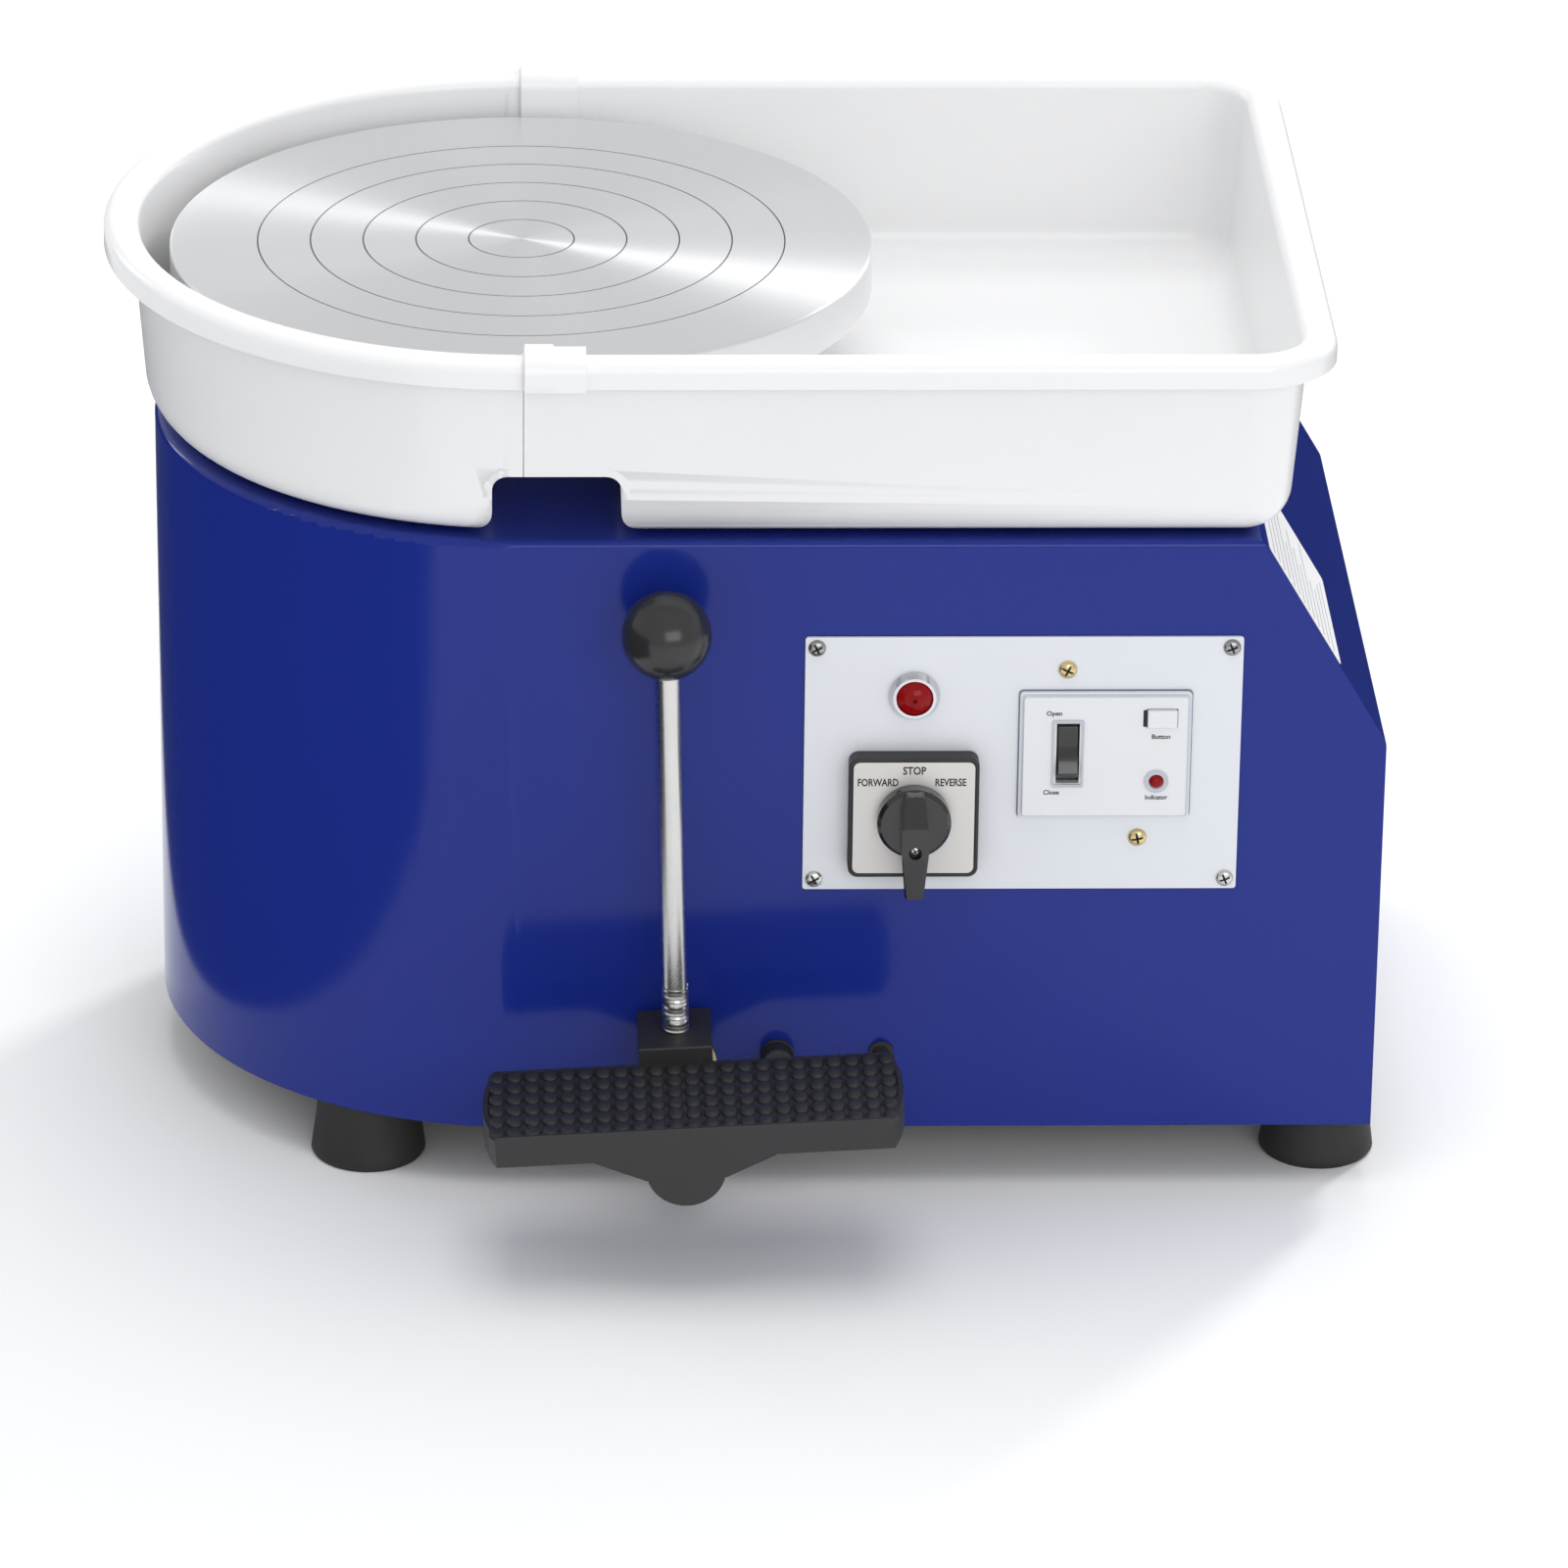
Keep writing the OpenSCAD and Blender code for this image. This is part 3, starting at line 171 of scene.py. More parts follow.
centre = (0, 0, 0.2)
overhead = add_area_light("overhead", (0.0, 0.1, 2.4), centre, 1.1, 2.4, 24)
overhead.visible_glossy = False
add_area_light("back_right", (1.75, 2.3, 1.75), centre, 0.45, 0.9, 42)
add_area_light("back_left", (-2.4, 2.2, 1.3), centre, 0.5, 1.0, 6)
add_area_light("front", (0.9, -3.2, 1.5), centre, 2.4, 1.4, 24)
print("lamps", [lamp.name for lamp in bpy.data.lights])

# %% [markdown]
# ## White sweep
# Floor and wall are one sheet, bent smoothly where they meet, so the background stays plain and
# has no line across it.

# %% White sweep


def sweep_mesh(half_width, front, back, height, bend, steps=16):
    """A floor that curves up into a wall behind."""
    section = [(front, 0), (back - bend, 0)]
    for i in range(1, steps + 1):
        a = math.pi / 2 * i / steps
        section.append((back - bend + bend * math.sin(a), bend - bend * math.cos(a)))
    section.append((back, height))
    verts = [(x, y, z) for y, z in section for x in (-half_width, half_width)]
    faces = [(2 * i, 2 * i + 1, 2 * i + 3, 2 * i + 2) for i in range(len(section) - 1)]
    mesh = bpy.data.meshes.new("sweep")
    mesh.from_pydata(verts, [], faces)
    mesh.shade_smooth()
    return mesh


backdrop = link("backdrop", sweep_mesh(half_width=6, front=-4, back=5, height=6, bend=2))
print("sweep", len(backdrop.data.polygons), "faces")

# %% [markdown]
# ## Dark cards
# Dark cards stand beside the round end and behind the slope. Only reflections see them: they
# keep the white floor out of the paint where it is seen at a low angle, so the blue stays deep.

# %% Dark cards


def dark_card(name, start, end, top):
    """An upright card along the floor from one point to another, seen only in reflections."""
    mesh = bpy.data.meshes.new(name)
    mesh.from_pydata([(*start, 0.001), (*end, 0.001), (*end, top), (*start, top)], [], [(0, 1, 2, 3)])
    card = link(name, mesh)
    card.visible_camera = False
    card.visible_diffuse = False
    card.visible_shadow = False
    return card


cards = [dark_card("card_left", (-0.31, -0.42), (-0.31, 0.75), 0.30),
         dark_card("card_right", (0.24, 0.22), (1.2, 0.22), 0.36)]
print("cards", [card.name for card in cards])

# %% [markdown]
# ## How the finishes are made
# Each finish is a small node tree on a Principled shader. Real surfaces are never one flat
# value, so a fine noise moves the roughness and gives a shallow bump, and a slower noise moves
# the colour slightly. Values that are the same all over are set on the shader's own socket.
# All patterns read Object coordinates, which are metres here, so a scale of 1000 means detail
# about a millimetre across.

# %% Finish helper


def set_input(node, socket, setting):
    node.inputs[socket].default_value = setting


def finish(name, color, rough, metal=0.0, grain=1500, bump=0.02, spread=0.04, mottle=25, tint=0.06,
           stretch=(1, 1, 1), **sockets):
    """A Principled finish with grain in its roughness and bump, and a slow mottle in its colour."""
    mat = bpy.data.materials.new(name)
    mat.use_nodes = True
    tree = mat.node_tree
    shader = tree.nodes["Principled BSDF"]
    set_input(shader, "Metallic", metal)
    for socket, setting in sockets.items():
        set_input(shader, socket.replace("_", " "), setting)
    coords = tree.nodes.new("ShaderNodeTexCoord")
    stretch_node = tree.nodes.new("ShaderNodeMapping")
    set_input(stretch_node, "Scale", stretch)
    fine = tree.nodes.new("ShaderNodeTexNoise")
    set_input(fine, "Scale", grain)
    set_input(fine, "Detail", 3)
    slow = tree.nodes.new("ShaderNodeTexNoise")
    set_input(slow, "Scale", mottle)
    set_input(slow, "Detail", 4)
    rough_map = tree.nodes.new("ShaderNodeMapRange")
    set_input(rough_map, "To Min", max(rough - spread, 0.02))
    set_input(rough_map, "To Max", min(rough + spread, 1))
    color_mix = tree.nodes.new("ShaderNodeMix")
    color_mix.data_type = "RGBA"
    set_input(color_mix, "A", (*[c * (1 - tint) for c in color], 1))
    set_input(color_mix, "B", (*[min(c * (1 + tint), 1) for c in color], 1))
    bump_node = tree.nodes.new("ShaderNodeBump")
    set_input(bump_node, "Strength", bump)
    set_input(bump_node, "Distance", 0.0005)
    join = tree.links.new
    join(coords.outputs["Object"], stretch_node.inputs["Vector"])
    join(stretch_node.outputs["Vector"], fine.inputs["Vector"])
    join(coords.outputs["Object"], slow.inputs["Vector"])
    join(fine.outputs["Fac"], rough_map.inputs["Value"])
    join(rough_map.outputs["Result"], shader.inputs["Roughness"])
    join(slow.outputs["Fac"], color_mix.inputs["Factor"])
    join(color_mix.outputs["Result"], shader.inputs["Base Color"])
    join(fine.outputs["Fac"], bump_node.inputs["Height"])
    join(bump_node.outputs["Normal"], shader.inputs["Normal"])
    return mat

# %% [markdown]
# ## Paint, plastic and rubber
# The body is sprayed a deep glossy blue, with the faint orange-peel ripple that sprayed paint
# keeps, so a shallow bump moves its reflections. The tray is glossy moulded plastic that lets a
# little light in. Black parts are of three kinds: satin moulding on the pedal, polished knobs,
# and dull rubber feet.

# %% Paint, plastic and rubber
paint_blue = finish("paint_blue", (0.0095, 0.0235, 0.225), 0.13, grain=420, bump=0.035, spread=0.02,
                    mottle=6, tint=0.04, Specular_IOR_Level=0.27)
tray_white = finish("tray_white", (0.83, 0.83, 0.83), 0.30, grain=700, bump=0.03, spread=0.03,
                    mottle=9, tint=0.012, Subsurface_Weight=0.12,
                    Subsurface_Radius=(0.01, 0.009, 0.008), Coat_Weight=0.25, Coat_Roughness=0.12)
panel_white = finish("panel_white", (0.72, 0.745, 0.78), 0.42, grain=2600, bump=0.05, spread=0.05,
                     mottle=18, tint=0.02)
panel_silver = finish("panel_silver", (0.66, 0.645, 0.62), 0.38, metal=0.35, grain=900, bump=0.02,
                      spread=0.05, mottle=30, tint=0.03, stretch=(1, 1, 22))
plastic_black = finish("plastic_black", (0.020, 0.020, 0.021), 0.50, grain=2400, bump=0.12,
                       spread=0.07, mottle=45, tint=0.2)
gloss_black = finish("gloss_black", (0.010, 0.010, 0.011), 0.16, grain=900, bump=0.015, spread=0.03,
                     mottle=60, tint=0.15, Coat_Weight=0.4, Coat_Roughness=0.05)
rubber_black = finish("rubber_black", (0.018, 0.018, 0.018), 0.62, grain=1800, bump=0.22, spread=0.08,
                      mottle=60, tint=0.25)
plastic_white = finish("plastic_white", (0.74, 0.75, 0.77), 0.30, grain=1500, bump=0.03, spread=0.04,
                       mottle=40, tint=0.015)
print("paint, plastic and rubber", len(bpy.data.materials))

# %% [markdown]
# ## Metals
# A metal has no colour under its reflection, so its base colour is the colour of what it
# reflects. Steel differs from chrome in how rough it is. The dark steel is only half a metal,
# because a thin coat of oil and oxide lies over it.

# %% Metals
screw_steel = finish("screw_steel", (0.36, 0.36, 0.35), 0.24, metal=1, grain=1400, bump=0.05,
                     spread=0.07, mottle=200, tint=0.15)
bright_steel = finish("bright_steel", (0.64, 0.64, 0.62), 0.26, metal=1, grain=1400, bump=0.03,
                      spread=0.07, mottle=80, tint=0.06, stretch=(6, 6, 1))
dark_steel = finish("dark_steel", (0.09, 0.09, 0.095), 0.45, metal=0.6, grain=1200, bump=0.08,
                    spread=0.08, mottle=30, tint=0.2)
cast_metal = finish("cast_metal", (0.55, 0.56, 0.57), 0.48, metal=1, grain=1600, bump=0.25,
                    spread=0.08, mottle=35, tint=0.1)
chrome = finish("chrome", (0.66, 0.66, 0.68), 0.10, metal=1, grain=900, bump=0.004, spread=0.02,
                mottle=50, tint=0.02)
yellow_screw = finish("yellow_screw", (0.72, 0.58, 0.30), 0.28, metal=1, grain=1500, bump=0.05,
                      spread=0.06, mottle=300, tint=0.12)
print("with metals", len(bpy.data.materials))

# %% [markdown]
# ## Small finishes
# The rest are for small things: the red of the lamps, nylon, board and copper inside, print,
# painted shade for slits and grooves and for the gap and ledge around the breaker, and the grey
# of the breaker's trim. The stage and the dark cards get theirs here too.

# %% Small finishes
red_lens = finish("red_lens", (0.26, 0.002, 0.004), 0.16, grain=900, bump=0.01, spread=0.03,
                  mottle=300, tint=0.35, Specular_IOR_Level=0.2)
nylon = finish("nylon", (0.74, 0.73, 0.66), 0.45, grain=1500, bump=0.05, mottle=50, tint=0.04)
circuit_board = finish("circuit_board", (0.02, 0.13, 0.05), 0.35, grain=1200, bump=0.06, mottle=140,
                       tint=0.35)
copper = finish("copper", (0.55, 0.24, 0.10), 0.35, metal=1, grain=800, bump=0.3, mottle=60, tint=0.2,
                stretch=(1, 1, 8))
print_black = finish("print_black", (0.012, 0.012, 0.013), 0.5, grain=2500, bump=0.01, mottle=90,
                     tint=0.1)
print_grey = finish("print_grey", (0.42, 0.43, 0.46), 0.5, grain=2500, bump=0.01, mottle=90, tint=0.1)
# Painted shade: the wheel head's narrow grooves are coloured darker for the shadow in them.
groove_shade = finish("groove_shade", (0.16, 0.16, 0.165), 0.5, metal=0.7, grain=1500, bump=0.02,
                     mottle=60, tint=0.1)
# Painted shade: a near-black for the shadow in screw crosses and in the slit by the test button.
slit_shade = finish("slit_shade", (0.008, 0.008, 0.009), 0.6, grain=1500, bump=0.02, mottle=90,
                   tint=0.1)
# Painted shade: the grey of the breaker's stepped ledge, where the step lies in shade.
ledge_shade_grey = finish("ledge_shade_grey", (0.56, 0.58, 0.66), 0.4, grain=1500, bump=0.02, mottle=60,
                    tint=0.04)
# Painted shade: the dark line of the gap around the breaker.
shadow_gap_grey = finish("shadow_gap_grey", (0.17, 0.18, 0.25), 0.5, grain=1500, bump=0.03, mottle=60,
                     tint=0.08)
ball_black = finish("ball_black", (0.022, 0.022, 0.023), 0.2, grain=900, bump=0.02, spread=0.04,
                    mottle=60, tint=0.15)
rim_grey = finish("rim_grey", (0.50, 0.51, 0.56), 0.35, grain=1500, bump=0.02, mottle=60, tint=0.04)
label_white = finish("label_white", (0.90, 0.90, 0.90), 0.45, grain=1500, bump=0.03, mottle=30,
                     tint=0.02)
stage_white = finish("stage_white", (0.93, 0.93, 0.93), 0.85, grain=60, bump=0.0, spread=0.02,
                     mottle=1, tint=0.004)
backdrop.data.materials.append(stage_white)
card_black = finish("card_black", (0.012, 0.018, 0.05), 0.9, grain=40, bump=0, spread=0.02, mottle=2,
                    tint=0.05)
for card in cards:
    card.data.materials.append(card_black)
print("finishes", len(bpy.data.materials))

# %% [markdown]
# ## Turned aluminium
# A lathe leaves thousands of fine circular scratches, and they spread a highlight across them,
# so a lamp shows as a ray from the middle to the rim. An anisotropic shader does this if its
# tangent points outwards from the axis. The head's mesh gets a UV map whose first coordinate
# is the distance from the axis, and the Tangent node follows that map. Fine noise in the
# distance alone draws the scratches themselves.

# %% Turned aluminium
turned = bpy.data.materials.new("turned_aluminium")
turned.use_nodes = True
turned_nodes, join = turned.node_tree.nodes, turned.node_tree.links.new
shader = turned_nodes["Principled BSDF"]
set_input(shader, "Metallic", 1)
set_input(shader, "Base Color", (0.86, 0.865, 0.87, 1))
set_input(shader, "Anisotropic", 0.88)
uv = turned_nodes.new("ShaderNodeUVMap")
uv.uv_map = "turning"
tangent = turned_nodes.new("ShaderNodeTangent")
tangent.direction_type = "UV_MAP"
tangent.uv_map = "turning"
join(tangent.outputs["Tangent"], shader.inputs["Tangent"])
along = turned_nodes.new("ShaderNodeSeparateXYZ")
join(uv.outputs["UV"], along.inputs["Vector"])
scratches = turned_nodes.new("ShaderNodeTexNoise")
scratches.noise_dimensions = "1D"
set_input(scratches, "Scale", 2600)
set_input(scratches, "Detail", 4)
join(along.outputs["X"], scratches.inputs["W"])
scratch_rough = turned_nodes.new("ShaderNodeMapRange")
set_input(scratch_rough, "To Min", 0.24)
set_input(scratch_rough, "To Max", 0.40)
join(scratches.outputs["Fac"], scratch_rough.inputs["Value"])
join(scratch_rough.outputs["Result"], shader.inputs["Roughness"])
scratch_bump = turned_nodes.new("ShaderNodeBump")
set_input(scratch_bump, "Strength", 0.06)
set_input(scratch_bump, "Distance", 0.0002)
join(scratches.outputs["Fac"], scratch_bump.inputs["Height"])
join(scratch_bump.outputs["Normal"], shader.inputs["Normal"])
print(turned.name, len(turned_nodes), "nodes")

# %% [markdown]
# ## Small mesh helpers
# Four small functions serve every piece: which body holds a node, which edges stay sharp, how
# modifiers are worked into a mesh, and how a piece gets its finish.

# %% Small mesh helpers


def body_holding(node):
    return nodes[node]["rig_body"]


def smooth_by_angle(mesh, degrees):
    mesh.shade_smooth()
    mesh.set_sharp_from_angle(angle=math.radians(degrees))


def bake(obj):
    """The object with its modifiers worked into a plain mesh, in the same place."""
    bpy.context.view_layer.update()
    done = bpy.data.meshes.new_from_object(obj.evaluated_get(bpy.context.evaluated_depsgraph_get()))
    obj.modifiers.clear()
    obj.data = done
    return obj


def paint(obj, material):
    obj.data.materials.clear()
    obj.data.materials.append(material)
    return obj

# %% [markdown]
# ## Finishing the working model's own shapes
# Most pieces already have their true shape, but as loose flat triangles with razor edges.
# `refine` makes a copy, merges it, joins the flat triangles back into faces, breaks the sharp
# edges with a fine bevel and smooths what is curved. The copy then stands for its node.

# %% Refine helper


def refine(node, material, bevel):
    """A copy of a node with clean faces and, where bevel isn't 0, broken edges."""
    mesh = bpy.data.meshes.new(node + "_fine")
    bm = bmesh.new()
    bm.from_mesh(nodes[node].data)
    bmesh.ops.remove_doubles(bm, verts=bm.verts, dist=2e-6)
    bmesh.ops.dissolve_limit(bm, angle_limit=math.radians(0.4), verts=bm.verts, edges=bm.edges)
    bm.to_mesh(mesh)
    bm.free()
    fine = link(node + "_fine", mesh)
    smooth_by_angle(mesh, 32)
    if bevel:
        modifier = fine.modifiers.new("edges", "BEVEL")
        modifier.width = bevel
        modifier.segments = 2
        modifier.limit_method = "ANGLE"
        modifier.angle_limit = math.radians(38)
        modifier.use_clamp_overlap = True
        level = fine.modifiers.new("flat faces stay flat", "WEIGHTED_NORMAL")
        level.keep_sharp = True
    bake(fine)
    paint(fine, material)
    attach(fine, body_holding(node))
    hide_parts(node)


def refine_all(table):
    for node, material, slot_name, bevel in table:
        refine(node, material, bevel)
    print("refined", len(table), "pieces")


# %% [markdown]
# ## Body, tray and panel
# The body's folded corners get a wider break than the panel's cut edges, so that they catch a
# thin line of light. The tray is moulded, so its seam and notch edges are soft.

# %% Body, tray and panel
refine_all([
    ("housing_shell", paint_blue, "blue_paint", 0.7 * MM),
    ("base_plate", dark_steel, "dark_steel", 0.3 * MM),
    ("round_splash_tray", tray_white, "tray_white", 0.0),
    ("square_splash_tray", tray_white, "tray_white", 0.0),
    ("control_panel", panel_white, "panel_white", 0.25 * MM),
    ("switch_frame", plastic_black, "black_plastic", 0.5 * MM),
    ("switch_face", panel_silver, "panel_silver", 0.15 * MM),
    ("breaker_frame", plastic_white, "white_plastic", 0.35 * MM),
    ("breaker_rocker", gloss_black, "black_knob", 0.5 * MM),
    ("breaker_test_button", plastic_white, "white_plastic", 0.5 * MM),
    ("switch_knob", gloss_black, "black_knob", 0.6 * MM),
    ("pedal_plate", plastic_black, "black_plastic", 0.8 * MM),
    ("pedal_block", plastic_black, "black_plastic", 2.2 * MM),
    ("fuse_holder", plastic_black, "black_plastic", 0.3 * MM),
    ("fuse_cap", plastic_black, "black_plastic", 0.4 * MM),
    ("cord_bush", rubber_black, "black_rubber", 0.3 * MM),
    ("rubber_feet", rubber_black, "black_rubber", 0.0),
    ("ball_knob", ball_black, "black_knob", 0.0),
    ("hand_lever_rod", bright_steel, "zinc_steel", 0.0),
])

# %% [markdown]
# ## Inner pieces
# The drive, the bearings and the electrical pieces are already right in shape and are mostly out
# of sight, so the working model's own meshes stay and only get their finishes.

# %% Inner pieces
inner_pieces = (
    (cast_metal, "wheel_hub bearing_housing driven_pulley motor_pulley motor_upper_cap motor_lower_cap"),
    (bright_steel, "foot_bolts bearing_housing_bolts upper_bearing lower_bearing motor_bracket"),
    (bright_steel, "motor_bracket_bolts motor_mount_screws motor_bearings speed_sensor hub_screws"),
    (bright_steel, "wheel_shaft pulley_bolt motor_shaft pedal_shaft switch_spindle fuse_cartridge"),
    (dark_steel, "motor_can motor_magnets shaft_retaining_ring"),
    (plastic_black, "lamp_body switch_body breaker_body"),
    (nylon, "speed_sector speed_sensor_pinion"),
    (rubber_black, "drive_belt"), (chrome, "lamp_bezel"), (red_lens, "breaker_indicator"),
    (yellow_screw, "pedal_bush"), (circuit_board, "motor_controller"), (copper, "motor_armature"),
)
for material, names in inner_pieces:
    for node in names.split():
        nodes[node].data.materials.clear()
        nodes[node].data.materials.append(material)
print("finished", sum(len(names.split()) for _, names in inner_pieces), "inner pieces")

# %% [markdown]
# ## Lathe
# A round piece is spun from its section: every ring of points lies on a circle about the axis.
# A UV map can be written while the rings are there. Its first coordinate is the distance from
# the axis, which is what the turned finish follows.

# %% Lathe


def lathe(name, section, at, segments, uv_name=None):
    """A closed mesh spun about an upright axis from (radius, height) points, from bottom to top."""
    bm = bmesh.new()
    rings = []
    for radius, height in section:
        if radius < 1e-9:
            rings.append([bm.verts.new((at[0], at[1], at[2] + height))])
            continue
        turns = (2 * math.pi * i / segments for i in range(segments))
        rings.append([bm.verts.new((at[0] + radius * math.cos(a), at[1] + radius * math.sin(a),
                                    at[2] + height)) for a in turns])
    for low, high in zip(rings, rings[1:]):
        for i in range(segments):
            j = (i + 1) % segments
            if len(low) == 1:
                bm.faces.new((low[0], high[j], high[i]))
            elif len(high) == 1:
                bm.faces.new((low[i], low[j], high[0]))
            else:
                bm.faces.new((low[i], low[j], high[j], high[i]))
    bmesh.ops.recalc_face_normals(bm, faces=bm.faces)
    if uv_name:
        layer = bm.loops.layers.uv.new(uv_name)
        for face in bm.faces:
            for loop in face.loops:
                dx, dy = loop.vert.co.x - at[0], loop.vert.co.y - at[1]
                middle_of_face = face.calc_center_median()
                turn_at = math.atan2(middle_of_face.y - at[1], middle_of_face.x - at[0])
                across = -dx * math.sin(turn_at) + dy * math.cos(turn_at)
                loop[layer].uv = (math.hypot(dx, dy), across)
    mesh = bpy.data.meshes.new(name)
    bm.to_mesh(mesh)
    bm.free()
    return link(name, mesh)


# %% [markdown]
# ## Wheel head
# The head is a lathe part, with its edges broken and five shallow centring rings cut into its
# top. The rings are narrow, so their faces are coloured a darker metal, as painted shade: they
# would otherwise vanish in the bright rays.

# %% Wheel head
head_height = head_high.z - head_low.z
groove_count, groove_step, groove_half, groove_depth = 5, 21 * MM, 0.3 * MM, 0.4 * MM
edge_break = 1.0 * MM
edge_round = 0.3 * edge_break
head_section = [(0, 0), (head_radius - edge_break, 0), (head_radius, edge_break),
                (head_radius, head_height - edge_break),
                (head_radius - edge_round, head_height - edge_round),
                (head_radius - edge_break, head_height)]
for i in range(groove_count, 0, -1):
    r = i * groove_step
    head_section += [(r + groove_half, head_height), (r, head_height - groove_depth),
                     (r - groove_half, head_height)]
head_section += [(2 * MM, head_height), (0, head_height)]
head = lathe("wheel_head_turned", head_section, (axis_x, axis_y, head_low.z), 240, "turning")
smooth_by_angle(head.data, 20)
paint(head, turned)
# The groove faces get the darker colour: painted shade in the narrow rings.
head.data.materials.append(groove_shade)
groove_reach = (groove_count + 0.5) * groove_step
groove_faces = 0
for face in head.data.polygons:
    radius = math.hypot(face.center.x - axis_x, face.center.y - axis_y)
    sloping = abs(face.normal.z) < 0.95
    if sloping and face.center.z > head_high.z - groove_depth and radius < groove_reach:
        face.material_index = 1
        groove_faces += 1
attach(head, "wheel")
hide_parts("wheel_head")
print("wheel head", len(head.data.polygons), "faces,", groove_faces, "of them in grooves")

# %% [markdown]
# ## Joint bands
# Where the two tray halves meet, the square half carries a raised band over its rim, which
# stiffens the socket. The band follows the rim exactly, so it is cut out of the tray itself:
# a slice of a copy, kept between planes and swollen by the height of the band.

# %% Joint bands


def slice_of(obj, planes):
    """The part of a piece inside some planes, each a point and an outward direction, closed again."""
    bm = bmesh.new()
    bm.from_mesh(obj.data)
    for point, outside in planes:
        whole = bm.verts[:] + bm.edges[:] + bm.faces[:]
        cut = bmesh.ops.bisect_plane(bm, geom=whole, plane_co=point, plane_no=outside, clear_outer=True)
        edges = [e for e in cut["geom_cut"] if isinstance(e, bmesh.types.BMEdge)]
        bmesh.ops.holes_fill(bm, edges=edges, sides=0)
    bmesh.ops.recalc_face_normals(bm, faces=bm.faces)
    return bm


band_start, band_end, band_rise = axis_x + 0.6 * MM, axis_x + 11.5 * MM, 0.9 * MM
rim_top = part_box("square_splash_tray")[1].z
square_tray = bpy.data.objects["square_splash_tray_fine"]
for name, side, depth in (("joint_band_front", -1, 10.5 * MM), ("joint_band_back", 1, 34 * MM)):
    planes = [((band_start, 0, 0), (-1, 0, 0)), ((band_end, 0, 0), (1, 0, 0)),
              ((0, axis_y, 0), (0, -side, 0)), ((0, 0, rim_top - depth), (0, 0, -1))]
    bm = slice_of(square_tray, planes)
    bm.normal_update()
    moves = [(vert, vert.normal * vert.calc_shell_factor() * band_rise) for vert in bm.verts]
    for vert, move in moves:
        vert.co += Vector((0, move.y, move.z))
    mesh = bpy.data.meshes.new(name)
    bm.to_mesh(mesh)
    bm.free()
    joint_band = link(name, mesh)
    smooth_by_angle(mesh, 35)
    paint(joint_band, tray_white)
    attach(joint_band, body_holding("square_splash_tray"))
    print(name, len(mesh.polygons), "faces")

# %% [markdown]
# ## Geometry Nodes helpers
# Screws, studs, threads and ruled lines all repeat one small shape. Each is made by a node tree
# that is built here, so that its sizes stay named inputs. Five small functions keep each tree
# to a few lines.

# %% Geometry Nodes helpers


def new_tree(name, **sizes):
    """A node tree with one named number input for each size, and its in and out nodes."""
    tree = bpy.data.node_groups.new(name, "GeometryNodeTree")
    tree.interface.new_socket(name="Geometry", in_out="INPUT", socket_type="NodeSocketGeometry")
    for size, default in sizes.items():
        kind = "NodeSocketInt" if isinstance(default, int) else "NodeSocketFloat"
        socket = tree.interface.new_socket(name=size, in_out="INPUT", socket_type=kind)
        socket.default_value = default
    tree.interface.new_socket(name="Geometry", in_out="OUTPUT", socket_type="NodeSocketGeometry")
    return tree, tree.nodes.new("NodeGroupInput"), tree.nodes.new("NodeGroupOutput")


def place_node(tree, kind, **settings):
    """Adds a node. A setting is a property, or an input's value, or a link from another node."""
    node = tree.nodes.new(kind)
    for key, setting in settings.items():
        socket = node.inputs.get(key.replace("_", " "))
        if isinstance(setting, bpy.types.NodeSocket):
            tree.links.new(setting, socket)
        elif hasattr(node, key) and (socket is None or isinstance(setting, str)):
            setattr(node, key, setting)
        else:
            socket.default_value = setting
    return node


def combine(tree, x, y, z):
    """A vector from three numbers, any of which may come from a socket."""
    return place_node(tree, "ShaderNodeCombineXYZ", X=x, Y=y, Z=z).outputs["Vector"]


def times(tree, socket, factor):
    """A socket multiplied by a number or by another socket."""
    product = place_node(tree, "ShaderNodeMath", operation="MULTIPLY")
    tree.links.new(socket, product.inputs[0])
    if isinstance(factor, bpy.types.NodeSocket):
        tree.links.new(factor, product.inputs[1])
    else:
        product.inputs[1].default_value = factor
    return product.outputs["Value"]


def end_tree(tree, shape, material, out):
    """Every tree ends alike: copies made real, material set, result out."""
    real = place_node(tree, "GeometryNodeRealizeInstances", Geometry=shape)
    done = place_node(tree, "GeometryNodeSetMaterial", Geometry=real.outputs["Geometry"])
    done.inputs["Material"].default_value = material
    tree.links.new(done.outputs["Geometry"], out.inputs["Geometry"])


# %% [markdown]
# `grow` runs a tree on a few points and keeps the result as a plain mesh. The modifier is then
# gone, and the piece's place is in its mesh. `seat` puts the piece on its moving body.

# %% Grow and seat


def grow(name, tree, points, where, smooth=30, **sizes):
    mesh = bpy.data.meshes.new(name)
    mesh.from_pydata(points, [], [])
    obj = link(name, mesh)
    modifier = obj.modifiers.new("grow", "NODES")
    modifier.node_group = tree
    for item in tree.interface.items_tree:
        if item.in_out == "INPUT" and item.name in sizes:
            modifier[item.identifier] = sizes[item.name]
    bake(obj)
    obj.data.transform(where)
    smooth_by_angle(obj.data, smooth)
    print(name, len(obj.data.polygons), "faces")
    return obj


def seat(obj, body, slot_name, *replaced):
    """Rides a finished piece on its body, in place of the named nodes. Its slot_name is not used."""
    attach(obj, body)
    if replaced:
        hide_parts(*replaced)
    return obj
